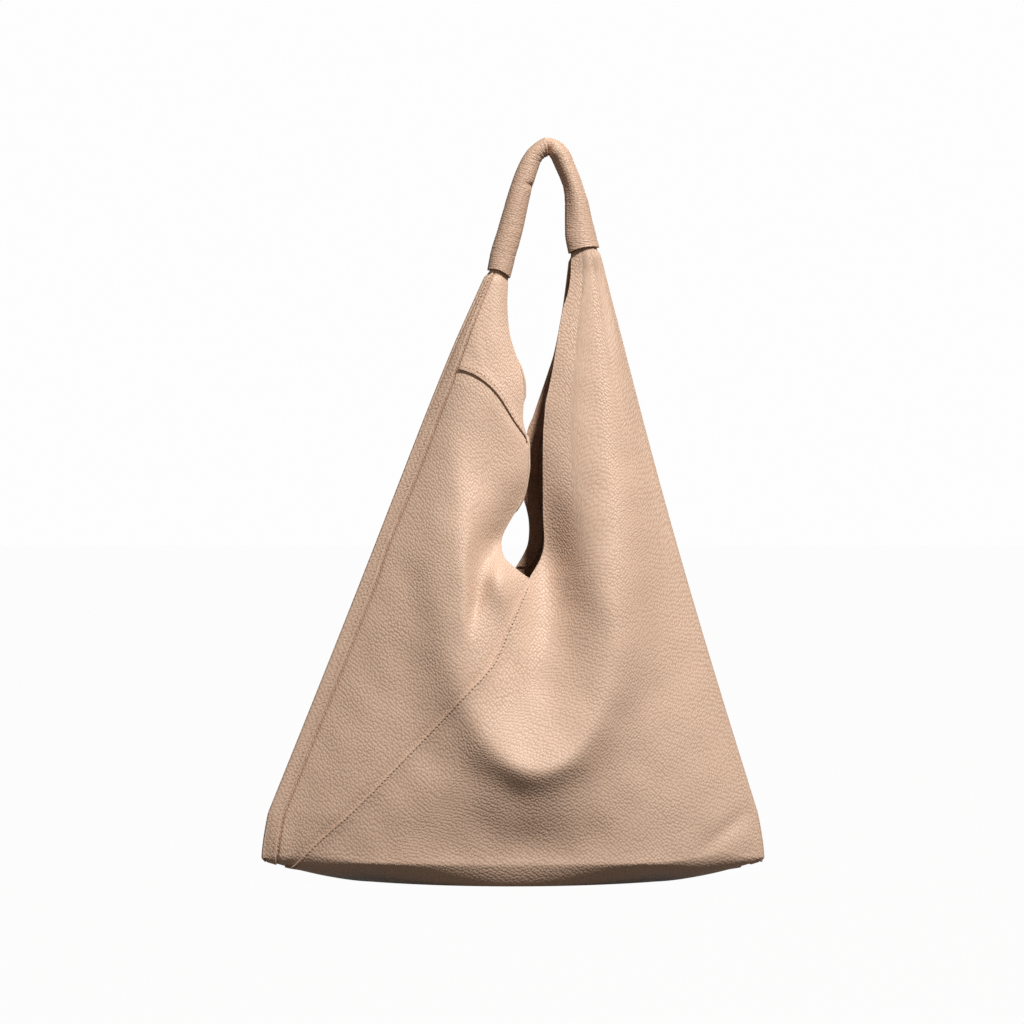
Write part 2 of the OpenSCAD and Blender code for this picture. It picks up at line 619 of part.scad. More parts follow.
module front_right_panel() { color(tan_leather) large_panel(front); }
module front_left_panel() { color(tan_leather) small_panel(front); }
module front_left_tip() { color(tan_leather) tip(front); }
module back_left_panel() { color(tan_leather) large_panel(back); }
module back_right_panel() { color(tan_leather) small_panel(back); }
module back_right_tip() { color(tan_leather) tip(back); }
module base_panel() { color(tan_leather) linear_extrude(leather_t) base_outline(); }
module base_board() { color(inner_leather) base_board_shape(); }
module left_tongue() { color(inner_leather) tongue(left); }
module right_tongue() { color(inner_leather) tongue(right); }
module handle_sleeve() {
    color(tan_leather) hollow_rod(sleeve_rings(0), sleeve_rings(leather_t), sleeve_sides);
}
module handle_core() {
    color(inner_leather)
        rod(sleeve_rings(leather_t + core_clear, core_first, core_last), sleeve_sides);
}
module front_left_facing() { color(inner_leather) facing(front, left); }
module front_right_facing() { color(inner_leather) facing(front, right); }
module back_left_facing() { color(inner_leather) facing(back, left); }
module back_right_facing() { color(inner_leather) facing(back, right); }
module front_seam_thread() { color(thread_colour) diagonal_thread(front); }
module back_seam_thread() { color(thread_colour) diagonal_thread(back); }
module front_tip_thread() { color(thread_colour) tip_thread(front); }
module back_tip_thread() { color(thread_colour) tip_thread(back); }
module left_side_thread() { color(thread_colour) side_thread(front); }
module right_side_thread() { color(thread_colour) side_thread(back); }
module base_thread() {
    color(thread_colour) translate([0, 0, leather_t]) linear_extrude(thread_d) difference() {
        base_outline(stitch_inset - thread_d);
        base_outline(stitch_inset);
    }
}
module handle_thread() {
    // The closing seam lies on the inner side of the handle's loop.
    pts = [for (i = [1 : last_place - 1])
        handle_route[i] + sleeve_across(i) * sleeve_r(i)];
    color(thread_colour) rod([for (i = [0 : len(pts) - 1])
        let (along = path_tangent(pts, i), across = unit(cross([0, 1, 0], along)))
        ring(pts[i], across, [0, 1, 0], thread_d / 2, thread_d / 2, thread_sides)], thread_sides);
}

front_right_panel();
front_left_panel();
front_left_tip();
back_left_panel();
back_right_panel();
back_right_tip();
base_panel();
base_board();
left_tongue();
right_tongue();
handle_sleeve();
handle_core();
front_left_facing();
front_right_facing();
back_left_facing();
back_right_facing();
front_seam_thread();
back_seam_thread();
front_tip_thread();
back_tip_thread();
left_side_thread();
right_side_thread();
base_thread();
handle_thread();
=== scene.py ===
import math

import bpy
import numpy as np
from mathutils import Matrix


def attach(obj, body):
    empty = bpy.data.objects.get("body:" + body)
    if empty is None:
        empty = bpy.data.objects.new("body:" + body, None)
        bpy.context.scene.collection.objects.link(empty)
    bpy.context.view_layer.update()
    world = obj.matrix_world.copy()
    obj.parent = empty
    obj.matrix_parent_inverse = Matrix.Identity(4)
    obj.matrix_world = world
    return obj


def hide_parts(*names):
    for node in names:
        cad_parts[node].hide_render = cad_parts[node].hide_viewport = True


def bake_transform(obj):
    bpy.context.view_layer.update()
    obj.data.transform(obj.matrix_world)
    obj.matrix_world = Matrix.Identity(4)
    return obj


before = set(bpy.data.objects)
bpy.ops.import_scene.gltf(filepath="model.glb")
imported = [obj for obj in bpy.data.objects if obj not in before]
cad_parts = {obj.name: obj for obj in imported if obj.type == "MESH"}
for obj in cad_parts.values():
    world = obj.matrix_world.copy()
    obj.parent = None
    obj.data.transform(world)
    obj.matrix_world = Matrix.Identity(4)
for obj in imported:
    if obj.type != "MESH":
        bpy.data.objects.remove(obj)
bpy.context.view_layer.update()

# The trapeze bag: the same surface as the part's own, in millimetres, at a finer step and with
# the folds, laps, stitches and grain of the leather. X is to the right, Z up, the front faces -Y.
MM = 0.001
FRONT, BACK = 1, -1
LEFT, RIGHT = -1, 1

# Outline
BASE_W = 452.0
CORNER_Z = 20.0
CORNER_TOP_Z = 62.0
CORNER_LEAN = 6.0
FOLD_BOW = {LEFT: 2.9, RIGHT: -5.0}
BOW_POWER = {LEFT: 3.0, RIGHT: 1.0}
CORNER_POWER = 1.5
KEEL_POWER = 1.5

# Depth
BELLY_HALF_D = 69.0
BASE_HALF_D = 50.0
NECK_HALF_D = 10.0
FOLD_R = 4.5
BASE_TURN_R = 20.0
TURN_FLAT = 0.65
TURN_FLAT_HALF_L = 190.0
TURN_FLAT_SOFT = 80.0
SEAM_GAP = 0.4
WRAP_ANGLE = math.radians(22)
RIDGE_POWER = 1.05
PLAN_POWER_LOW = 2.4
PLAN_POWER_HIGH = 1.6
FOLD_POWER = 12

# Belly fold and mouth
RIM_Z = 108.0
ARCH_TOP_Z = 230.0
MOUTH_Z = 273.0
MOUTH_X = {FRONT: 15.0, BACK: -5.0}
BELLY_X = {FRONT: 22.0, BACK: -8.0}
MOUTH_HALF_D = 28.0
VALLEY_HALF_D = 45.0
BELLY_FALL = 32.0
RIM_FALL = 19.0
VALLEY_SOFT = 16.0
ROLL_START = 30.0
ROLL_SOFT = 70.0

# Leather, seams and base
LEATHER_T = 1.8
STRIP_W = 9.5
SEAM_FOOT_X = 205.0
TIP_SEAM_LOW_Z = 396.0
TIP_SEAM_HIGH_Z = 461.0
TIP_SEAM_POWER = 2.2
TIP_SEAM_RISE_POWER = 0.77
BASE_HALF_L = 130.0
BASE_HALF_W = 40.0

# Handle
MOUTH_OF = {LEFT: (-12.2, 547.6), RIGHT: (63.5, 567.6)}
MOUTH_R = {LEFT: 12.1, RIGHT: 14.5}

# Edges of the mouth: share of the height from the mouth's bottom to the handle, then x.
LIP = {
    (FRONT, LEFT): [(0, 15), (0.035, 2), (0.07, -7.5), (0.115, -10.5), (0.15, -8), (0.2, -0.5),
                    (0.26, 9), (0.35, 14), (0.4, 14.2), (0.453, 13), (0.49, 10.4), (0.52, 9),
                    (0.56, 9.4), (0.6, 10.7), (0.643, 10.4), (0.69, 7), (0.738, 2),
                    (0.797, -2.7), (0.86, -4.6), (0.92, -5), (1, -3)],
    (FRONT, RIGHT): [(0, 15), (0.06, 25), (0.11, 28), (0.2, 27), (0.42, 27), (0.52, 29.2),
                     (0.575, 32), (0.64, 35.8), (0.7, 38.6), (0.767, 42), (0.831, 46),
                     (0.88, 50), (0.93, 51.8), (1, 52.3)],
    (BACK, RIGHT): [(0, -5), (0.03, 2), (0.09, 12), (0.13, 14.4), (0.18, 14), (0.25, 10),
                    (0.35, 9.5), (0.44, 12.7), (0.5, 18.5), (0.56, 24.5), (0.63, 31.5),
                    (0.69, 37), (0.8, 43.4), (0.9, 47.6), (1, 51)],
    (BACK, LEFT): [(0, -5), (0.1, -15), (0.42, -12), (0.6, -8), (0.83, -8), (1, -5)],
}
# Half depth at those edges.
LIP_D = {
    LEFT: [(0, 28), (0.06, 22), (0.12, 18.5), (0.26, 17), (0.43, 16), (0.86, 6), (1, 3)],
    RIGHT: [(0, 28), (0.06, 24), (0.12, 22), (0.26, 19.5), (0.43, 17), (0.67, 13), (0.85, 8),
            (1, 3)],
}
# Ridges of the arms: share of the height from the arch to the handle, then x.
RIDGE = {
    (FRONT, LEFT): [(0, -45), (0.12, -44.5), (0.25, -43.5), (0.38, -39), (0.5, -34.5),
                    (0.63, -29), (0.76, -25), (0.95, -18), (1, -15)],
    (FRONT, RIGHT): [(0, 84), (0.12, 85.5), (0.24, 85), (0.35, 83.5), (0.47, 79.5),
                     (0.59, 78.5), (0.83, 76), (1, 66)],
    (BACK, LEFT): [(0, -62), (0.24, -55), (0.48, -42), (0.59, -34), (0.83, -21), (1, -14)],
    (BACK, RIGHT): [(0, 72), (0.24, 76), (0.62, 80), (0.84, 77), (1, 66)],
}
BOWL = [(0.37, 1), (0.5, 0.97), (0.65, 0.79), (0.8, 0.5), (1, 0)]
WALL_PROFILE = [(0, 1), (0.19, 1.05), (0.37, 1), (0.55, 0.76), (0.77, 0.36), (1, 0)]
DIAGONAL_SEAM = [(0, 0), (0.1, 0.091), (0.25, 0.291), (0.4, 0.473), (0.545, 0.645), (0.637, 0.75),
                 (0.709, 0.832), (0.767, 0.873), (0.886, 0.936), (1, 1)]


# Folds and dents of the leather, for each face: x, z, half sizes along and across, tilt of the
# long side from upright in degrees, and how far it stands out.
DENTS = {
    FRONT: [
        (-112, 252, 60, 34, 0, 1.6),
        (-82, 232, 70, 22, -8, -2.2),
        (-50, 150, 26, 30, 0, -1.5),
        (-118, 190, 45, 30, 30, -1.0),
        (196, 52, 30, 7, -52, -2.0),
        (206, 36, 22, 14, -50, 1.8),
        (150, 120, 60, 26, 20, 0.9),
        (118, 205, 50, 22, 10, -1.1),
        (-30, 470, 26, 6, 12, 0.8),
        (15, 88, 26, 95, 0, 4.0),
        (0, 34, 26, 120, 0, -2.2),
        (32, 296, 42, 20, 5, -7.0),
        (44, 244, 58, 25, 6, -6.5),
        (82, 270, 66, 20, 6, 3.0),
        (0, 100, 60, 28, 60, 2.6),
        (56, 100, 60, 28, 120, 2.4),
        (-36, 124, 60, 28, 45, 3.0),
        (24, 72, 60, 28, 90, 2.2),
        (82, 122, 60, 28, 120, 2.4),
        (20, 214, 52, 24, 30, -3.0),
        (24, 242, 56, 25, 0, -6.5),
        (56, 300, 45, 20, 15, 4.0),
        (-16, 380, 60, 28, 30, -2.5),
        (-20, 306, 34, 15, 0, 3.0),
        (-12, 274, 22, 12, 0, 4.0),
        (-72, 270, 45, 20, 0, 2.0),
        (32, 60, 45, 20, 90, 1.6),
        (-40, 354, 60, 28, 0, -5.0),
        (-45, 300, 70, 11, 3, 2.6),
        (-20, 392, 62, 22, 0, -3.0),
        (-14, 326, 58, 18, 4, -3.5),
        (-215, 40, 26, 13, 0, 6.0),
    ],
    BACK: [
        (118, 240, 60, 32, 0, 1.5),
        (84, 215, 60, 22, -10, -1.8),
        (-128, 180, 48, 26, -20, -1.4),
        (-196, 50, 28, 8, 50, -1.8),
        (-150, 110, 55, 28, -20, 1.0),
        (200, 44, 22, 16, -30, 1.4),
        (-60, 400, 60, 14, -6, 0.9),
        (40, 150, 30, 26, 30, -1.0),
    ],
}
# The tongue of leather below the front mouth, and the groove to the left of it.
TONGUE_X = [(190, 14), (237, 5), (276, -8), (310, -14)]
TONGUE_H = 7.0
TONGUE_REACH = (16.0, 34.0)
TONGUE_BAND = (165, 320, 60)
GROOVE_X = [(215, -43), (237, -38), (256, -32), (275, -27), (300, -19), (320, -12), (350, -4)]
GROOVE_D = 8.5
GROOVE_REACH = (17.0, 9.0)
GROOVE_BAND = (212, 326, 40)
# Slight waves all over, and where the folds fade out above the base and below the necks.
RIPPLE_H = 0.45
FOLDS_FOOT = 30.0
FOLDS_TOP_Z = 470.0
FOLDS_TOP_SOFT = 60.0


def clamp01(v):
    return np.clip(v, 0, 1)


def mix(a, b, s):
    return a + (b - a) * s


def smooth(s):
    t = clamp01(s)
    return t * t * (3 - 2 * t)


def curve(u, points):
    """A smooth curve through (u, value), held level past its ends."""
    p = np.array(points, float)
    x, y = p[:, 0], p[:, 1]
    slope = np.empty(len(x))
    slope[1:-1] = (y[2:] - y[:-2]) / (x[2:] - x[:-2])
    slope[0] = (y[1] - y[0]) / (x[1] - x[0])
    slope[-1] = (y[-1] - y[-2]) / (x[-1] - x[-2])
    v = np.clip(u, x[0], x[-1])
    i = np.clip(np.searchsorted(x, v, side="right") - 1, 0, len(x) - 2)
    h = x[i + 1] - x[i]
    s = (v - x[i]) / h
    return ((2 * s**3 - 3 * s**2 + 1) * y[i] + (s**3 - 2 * s**2 + s) * h * slope[i]
            + (3 * s**2 - 2 * s**3) * y[i + 1] + (s**3 - s**2) * h * slope[i + 1])


def neck_x(hand):
    return abs(MOUTH_OF[hand][0]) + MOUTH_R[hand]


def fold_reach(hand, w):
    """Distance of a fold from the middle of the bag, at height w."""
    corner = BASE_W / 2
    s = (w - CORNER_TOP_Z) / (MOUTH_OF[hand][1] - CORNER_TOP_Z)
    low = corner - CORNER_LEAN * clamp01((w - CORNER_Z) / (CORNER_TOP_Z - CORNER_Z)) ** CORNER_POWER
    bow = FOLD_BOW[hand] * np.sin(np.pi * clamp01(s) ** BOW_POWER[hand])
    return np.where(w < CORNER_TOP_Z, low, mix(corner - CORNER_LEAN, neck_x(hand), s) + bow)


def mouth_share(hand, w):
    return (w - MOUTH_Z) / (MOUTH_OF[hand][1] - MOUTH_Z)


def middle_x(face, hand, w):
    above = curve(mouth_share(hand, w), LIP[face, hand])
    share = clamp01((w - ARCH_TOP_Z) / (MOUTH_Z - ARCH_TOP_Z))
    return np.where(w >= MOUTH_Z, above, mix(BELLY_X[face], MOUTH_X[face], share**2))


def valley_x(face, hand, w):
    return (middle_x(face, hand, w - VALLEY_SOFT) + 2 * middle_x(face, hand, w)
            + middle_x(face, hand, w + VALLEY_SOFT)) / 4


def ridge_x(face, hand, w):
    return curve((w - ARCH_TOP_Z) / (MOUTH_OF[hand][1] - ARCH_TOP_Z), RIDGE[face, hand])


def middle_depth(hand, w):
    above = curve(mouth_share(hand, w), LIP_D[hand])
    below = mix(MOUTH_HALF_D, VALLEY_HALF_D, curve((w - RIM_Z) / (MOUTH_Z - RIM_Z), BOWL))
    return np.where(w >= MOUTH_Z, above, below)


def ridge_depth(w):
    share = clamp01((w - RIM_Z) / (MOUTH_OF[LEFT][1] - RIM_Z))
    return mix(BELLY_HALF_D, NECK_HALF_D, share**RIDGE_POWER)


def wall_depth(x, w):
    rise = clamp01(w / MOUTH_OF[LEFT][1])
    reach = (fold_reach(RIGHT, w) + fold_reach(LEFT, w)) / 2
    off_centre = (fold_reach(RIGHT, w) - fold_reach(LEFT, w)) / 2
    n = clamp01(np.abs(x - off_centre) / reach)
    edge = FOLD_R * math.cos(WRAP_ANGLE)
    middle = np.minimum(mix(NECK_HALF_D, BASE_HALF_D, curve(rise, WALL_PROFILE)), ridge_depth(w))
    return edge + (middle - edge) * (1 - n ** mix(PLAN_POWER_LOW, PLAN_POWER_HIGH, rise))


def band(w, low, high, soft):
    return smooth((w - low) / soft) * smooth((high - w) / soft)


def ripple(x, w, seed):
    """Slight waves of soft leather, at most 1 high."""
    total = 0
    waves = ((47, 61, 0.9), (83, 38, 2.1), (31, 97, 4.4), (58, -44, 1.3), (121, -73, 5.2))
    for along_x, along_w, phase in waves:
        total = total + np.sin(2 * np.pi * (x / along_x + w / along_w) + phase + seed * 1.7)
    return total / len(waves)


def detail(face, hand, x, w, q):
    """What the leather's own folds add to the plain form."""
    out = np.zeros(np.broadcast(x, w).shape)
    for cx, cz, long, wide, tilt, height in DENTS[face]:
        c, s = math.cos(math.radians(tilt)), math.sin(math.radians(tilt))
        along = (w - cz) * c - (x - cx) * s
        across = (x - cx) * c + (w - cz) * s
        out = out + height * np.exp(-((along / long) ** 2) - (across / wide) ** 2)
    out = out + RIPPLE_H * ripple(x, w, face)
    if face == FRONT:
        crest = curve(w, TONGUE_X)
        reach = np.where(x < crest, *TONGUE_REACH)
        tongue = np.exp(-(((x - crest) / reach) ** 2)) * band(w, *TONGUE_BAND)
        out = out + TONGUE_H * tongue * smooth((1 - q) / 0.5)
        if hand == LEFT:
            low = curve(w, GROOVE_X)
            reach = np.where(x < low, *GROOVE_REACH)
            groove = np.exp(-(((x - low) / reach) ** 2)) * band(w, *GROOVE_BAND)
            out = out - GROOVE_D * groove * smooth((1 - q) / 0.2)
    return out


def face_depth(face, hand, x, w):
    """Half depth of a face at x and height w."""
    below = np.maximum(0, ARCH_TOP_Z - w)
    c = valley_x(face, hand, w)
    to_ridge = np.abs(ridge_x(face, hand, w) - valley_x(face, hand, np.maximum(w, ARCH_TOP_Z)))
    across = np.abs(x - c) / np.maximum(1, to_ridge)
    down = below / (ARCH_TOP_Z - RIM_Z)
    q = np.maximum(0.001, np.hypot(across, down))
    q_in = np.minimum(q, 1)
    ridge = ridge_depth(np.maximum(w, RIM_Z))
    rolled = 1 - (1 - q_in) ** 2
    rise = mix(smooth(q_in), rolled, smooth((w - MOUTH_Z - ROLL_START) / ROLL_SOFT))
    inside = mix(middle_depth(hand, w), ridge, rise)
    past = np.hypot(x - c, below) * (1 - 1 / q)
    fall = mix(BELLY_FALL, RIM_FALL, (down / q) ** 2)
    outside = mix(wall_depth(x, w), ridge, np.exp(-((past / fall) ** 2)))
    fold_x = hand * fold_reach(hand, w)
    near_fold = clamp01(np.abs(x - c) / np.maximum(1, np.abs(fold_x - c)))
    edge = FOLD_R * math.cos(WRAP_ANGLE)
    raw = np.where(q < 1, inside, outside)
    extra = detail(face, hand, x, w, q) * (1 - near_fold**FOLD_POWER) * smooth(w / FOLDS_FOOT)
    extra = extra * (1 - smooth((w - FOLDS_TOP_Z) / FOLDS_TOP_SOFT))
    return edge + (raw - edge) * (1 - near_fold**FOLD_POWER) + extra


def keel_z(x):
    share = clamp01((np.abs(x) - BASE_HALF_L) / (BASE_W / 2 - BASE_HALF_L))
    return CORNER_Z * share**KEEL_POWER


BASE_ARC_R = (BASE_HALF_L**2 + BASE_HALF_W**2) / (2 * BASE_HALF_W)


def base_edge(x):
    inside = np.sqrt(np.maximum(0, BASE_ARC_R**2 - x**2)) - (BASE_ARC_R - BASE_HALF_W)
    return np.where(np.abs(x) >= BASE_HALF_L, 0, inside)


def turn_under(x, depth_at, w, keel):
    """Depth and height of a wall at w, which turns under into the base at its foot."""
    up = depth_at(np.maximum(w, keel + BASE_TURN_R))
    radius = np.minimum(BASE_TURN_R, up)
    turn = clamp01(w / (keel + radius))
    flat = TURN_FLAT * (1 - smooth((np.abs(x) - TURN_FLAT_HALF_L) / TURN_FLAT_SOFT + 1))
    out = mix(np.sin(np.pi / 2 * turn), turn, flat)
    rise = mix(1 - np.cos(np.pi / 2 * turn), turn, flat)
    depth = np.where(turn < 1, mix(base_edge(x) + SEAM_GAP, up, out), depth_at(w))
    z = np.where(turn < 1, keel + radius * rise, w)
    return depth, z


def face_point(face, e, w):
    """A point of a face: e runs from fold to fold, with the face's own right hand positive."""
    sides = []
    for hand in (LEFT, RIGHT):
        c = middle_x(face, hand, w)
        fold_x = hand * (fold_reach(hand, w) - FOLD_R * (1 - math.sin(WRAP_ANGLE)))
        x = c + (fold_x - c) * np.abs(e)
        depth, z = turn_under(x, lambda v: face_depth(face, hand, x, v), w, keel_z(x))
        sides.append(np.stack([x, -face * depth, z], -1))
    on_right = np.where(e < 0, -face, face) == RIGHT
    return np.where(on_right[..., None], sides[1], sides[0])


CORNER_OPEN_W = 0.15 * (CORNER_Z + FOLD_R)


def wrap_point(face, share, w):
    """A point on the arc round a fold, from this face (0) to the other (1)."""
    angle = mix(WRAP_ANGLE, math.pi - WRAP_ANGLE, share)
    reach = fold_reach(face, w) - FOLD_R
    keel = keel_z(reach)
    turn = clamp01(np.maximum(w, CORNER_OPEN_W) / (keel + FOLD_R))
    r = FOLD_R * np.sin(np.pi / 2 * turn)
    z = np.where(turn < 1, keel + FOLD_R * (1 - np.cos(np.pi / 2 * turn)), w)
    return np.stack([face * (reach + r * np.sin(angle)), -face * r * np.cos(angle), z], -1)


def strip_share(w):
    return STRIP_W / (fold_reach(LEFT, w) + fold_reach(RIGHT, w)) * 2


def bag_point(face, e, w):
    """e from -1 to 1 is the face, 1 to 2 the turn round its fold, 2 to 3 the strip behind."""
    here = face_point(face, np.clip(e, -1, 1), w)
    if e.max() <= 1:
        return here
    wrap = wrap_point(face, clamp01(e - 1), w)
    behind = face_point(-face, -1 + clamp01(e - 2) * strip_share(w), w)
    return np.where((e <= 1)[..., None], here, np.where((e <= 2)[..., None], wrap, behind))


def unit(v):
    return v / np.maximum(1e-9, np.linalg.norm(v, axis=-1, keepdims=True))


# The seams
def reach_of(face, hand, w):
    """Millimetres in one unit of e on that side of a face."""
    return np.abs(fold_reach(hand, w) * hand - middle_x(face, hand, w))


def seam_e(face, w):
    share = curve(w / MOUTH_Z, DIAGONAL_SEAM)
    x = mix(-SEAM_FOOT_X, face * MOUTH_X[face], share)
    c = face * middle_x(face, -face, w)
    fold_x = -(fold_reach(-face, w) - FOLD_R * (1 - math.sin(WRAP_ANGLE)))
    return np.where(w >= MOUTH_Z, 0, -(c - x) / (c - fold_x))


def strip_edge_e(w):
    return -1 + strip_share(w)


def tip_seam_z(s):
    rise = (1 - clamp01(s) ** TIP_SEAM_POWER) ** TIP_SEAM_RISE_POWER
    return mix(TIP_SEAM_LOW_Z, TIP_SEAM_HIGH_Z, rise)


# Meshes: EDGE_ROUND is how far a cut edge bulges, for each millimetre of thickness.
EDGE_ROUND = 0.22


def add_mesh(name, verts, faces, materials, face_materials=None, uv=None, sharp=50):
    mesh = bpy.data.meshes.new(name)
    mesh.from_pydata((np.asarray(verts, float) * MM).tolist(), [], faces)
    for m in materials:
        mesh.materials.append(m)
    if face_materials is not None:
        mesh.polygons.foreach_set("material_index", np.asarray(face_materials, np.int32))
    if uv is not None:
        layer = mesh.uv_layers.new(name="grain")
        corner = np.empty(len(mesh.loops), np.int32)
        mesh.loops.foreach_get("vertex_index", corner)
        at_corner = (np.asarray(uv, float) * MM)[corner]
        layer.data.foreach_set("uv", at_corner.astype(np.float32).ravel())
    mesh.polygons.foreach_set("use_smooth", np.ones(len(mesh.polygons), bool))
    mesh.set_sharp_from_angle(angle=math.radians(sharp))
    mesh.update()
    obj = bpy.data.objects.new(name, mesh)
    bpy.context.scene.collection.objects.link(obj)
    return obj


def loop_of(rows, cols):
    """Places of a grid's border, in order round it."""
    low = [(0, c) for c in range(cols)]
    right = [(r, cols - 1) for r in range(1, rows)]
    high = [(rows - 1, c) for c in range(cols - 2, -1, -1)]
    left = [(r, 0) for r in range(rows - 2, 0, -1)]
    return low + right + high + left


def sheet_mesh(name, outer, inner, materials, uv, flip=False):
    """A closed sheet between two grids, with a rounded cut edge all round."""
    rows, cols = outer.shape[:2]
    n = rows * cols
    index = np.arange(n).reshape(rows, cols)
    quads = np.stack([index[:-1, :-1], index[:-1, 1:], index[1:, 1:], index[1:, :-1]], -1)
    quads = quads.reshape(-1, 4)
    border = loop_of(rows, cols)
    ring = np.array([index[p] for p in border])
    inward = np.array([index[min(max(r, 1), rows - 2), min(max(c, 1), cols - 2)]
                       for r, c in border])
    flat_outer, flat_inner = outer.reshape(-1, 3), inner.reshape(-1, 3)
    middle = (flat_outer[ring] + flat_inner[ring]) / 2
    away = unit(middle - (flat_outer[inward] + flat_inner[inward]) / 2)
    thick = np.linalg.norm(flat_outer[ring] - flat_inner[ring], axis=-1, keepdims=True)
    verts = np.concatenate([flat_outer, flat_inner, middle + away * EDGE_ROUND * thick])
    k = len(ring)
    here, there = np.arange(k), (np.arange(k) + 1) % k
    rim = np.concatenate([
        np.stack([ring[there], ring[here], 2 * n + here, 2 * n + there], -1),
        np.stack([2 * n + there, 2 * n + here, n + ring[here], n + ring[there]], -1)])
    faces = np.concatenate([quads, n + quads[:, ::-1], rim])
    if flip:
        faces = faces[:, ::-1]
    flat_uv = uv.reshape(-1, 2)
    all_uv = np.concatenate([flat_uv, flat_uv, flat_uv[ring]])
    kinds = np.concatenate([np.zeros(len(quads)), np.ones(len(quads)), np.full(len(rim), 2)])
    return add_mesh(name, verts, faces.tolist(), materials, kinds, all_uv)


# Leather, suede, cut edges, thread
def new_material(name, colour, roughness):
    m = bpy.data.materials.new(name)
    m.use_nodes = True
    nodes = m.node_tree.nodes
    shader = nodes["Principled BSDF"]
    shader.inputs["Base Color"].default_value = colour
    shader.inputs["Roughness"].default_value = roughness
    return m, nodes, m.node_tree.links, shader


def linear(r, g, b):
    def one(v):
        v = v / 255
        return v / 12.92 if v <= 0.04045 else ((v + 0.055) / 1.055) ** 2.4
    return (one(r), one(g), one(b), 1.0)


def node_of(nodes, kind, **sockets):
    n = nodes.new(kind)
    for key, value in sockets.items():
        n.inputs[key].default_value = value
    return n


def math_node(nodes, links, operation, a, b=None):
    n = nodes.new("ShaderNodeMath")
    n.operation = operation
    for i, v in enumerate((a, b)):
        if v is None:
            continue
        if isinstance(v, (int, float)):
            n.inputs[i].default_value = v
        else:
            links.new(v, n.inputs[i])
    return n.outputs[0]


def colour_mix(nodes, links, factor, a, b):
    n = nodes.new("ShaderNodeMix")
    n.data_type = "RGBA"
    links.new(factor, n.inputs["Factor"])
    for key, v in (("A", a), ("B", b)):
        socket = [s for s in n.inputs if s.name == key and s.type == "RGBA"][0]
        if isinstance(v, tuple):
            socket.default_value = v
        else:
            links.new(v, socket)
    return [s for s in n.outputs if s.type == "RGBA"][0]


def noise(nodes, links, at, scale, detail, roughness):
    n = node_of(nodes, "ShaderNodeTexNoise", Scale=scale, Detail=detail, Roughness=roughness)
    links.new(at, n.inputs["Vector"])
    return n.outputs["Fac"]


def range_node(nodes, links, value, low, high, to_low=0.0, to_high=1.0):
    n = node_of(nodes, "ShaderNodeMapRange",
                **{"From Min": low, "From Max": high, "To Min": to_low, "To Max": to_high})
    links.new(value, n.inputs["Value"])
    return n


def add_bump(nodes, links, shader, height, strength, distance):
    bump = node_of(nodes, "ShaderNodeBump", Strength=strength, Distance=distance)
    links.new(height, bump.inputs["Height"])
    links.new(bump.outputs[0], shader.inputs["Normal"])


def leather_material(name, colour, dark, roughness, grain=0.0025, depth=0.00030, tilt=-32,
                     rough_side=False):
    """Pebbled leather: soft domes in slanting rows, a finer grain on them, cloudy colour and
    painted shade in the hollows between the domes.
    """
    m, nodes, links, shader = new_material(name, colour, roughness)
    shader.inputs["Specular IOR Level"].default_value = 0.1 if rough_side else 0.4
    at = nodes.new("ShaderNodeUVMap")
    at.uv_map = "grain"
    place = nodes.new("ShaderNodeMapping")
    place.vector_type = "TEXTURE"
    place.inputs["Rotation"].default_value = (0, 0, math.radians(tilt))
    place.inputs["Scale"].default_value = (grain * 0.9, grain * 1.2, grain)
    links.new(at.outputs[0], place.inputs[0])
    cells = node_of(nodes, "ShaderNodeTexVoronoi", Scale=1.0, Randomness=0.62)
    cells.voronoi_dimensions = "2D"
    cells.feature = "F1"
    at = place.outputs[0]
    links.new(at, cells.inputs["Vector"])
    dome = range_node(nodes, links, cells.outputs["Distance"], 0.66, 0.12)
    dome.interpolation_type = "SMOOTHSTEP"
    patch = noise(nodes, links, at, 0.09, 2.0, 0.5)
    bold = range_node(nodes, links, patch, 0.3, 0.7, 0.62, 1.0)
    height = math_node(nodes, links, "MULTIPLY", dome.outputs[0], bold.outputs[0])
    fine = math_node(nodes, links, "MULTIPLY", noise(nodes, links, at, 2.2, 3.0, 0.55), 0.3)
    height = math_node(nodes, links, "ADD", height, fine)
    add_bump(nodes, links, shader, height, 1.0, depth)
    shade = range_node(nodes, links, noise(nodes, links, at, 0.035, 3.0, 0.55), 0.3, 0.7)
    deeper = tuple(0.93 * c for c in colour[:3]) + (1.0,)
    cloudy = colour_mix(nodes, links, shade.outputs[0], colour, deeper)
    # Painted shade: the colour turns to the dark tone in the hollows between the domes, where shade
    # falls.
    shade_in_hollows = math_node(nodes, links, "MULTIPLY", dome.outputs[0], 0.55)
    shade_in_hollows = math_node(nodes, links, "ADD", shade_in_hollows, 0.45)
    links.new(colour_mix(nodes, links, shade_in_hollows, dark, cloudy), shader.inputs["Base Color"])
    return m


def suede_material(name, colour, dark, roughness, bump_depth):
    """A fibrous surface: cut edges, board and cotton."""
    m, nodes, links, shader = new_material(name, colour, roughness)
    shader.inputs["Specular IOR Level"].default_value = 0.2
    shader.inputs["Sheen Weight"].default_value = 0.25
    shader.inputs["Sheen Roughness"].default_value = 0.5
    at = nodes.new("ShaderNodeTexCoord")
    nap = noise(nodes, links, at.outputs["Object"], 900.0, 5.0, 0.7)
    add_bump(nodes, links, shader, nap, 0.8, bump_depth)
    cloud = noise(nodes, links, at.outputs["Object"], 28.0, 4.0, 0.6)
    shade = range_node(nodes, links, cloud, 0.3, 0.72)
    links.new(colour_mix(nodes, links, shade.outputs[0], colour, dark), shader.inputs["Base Color"])
    return m


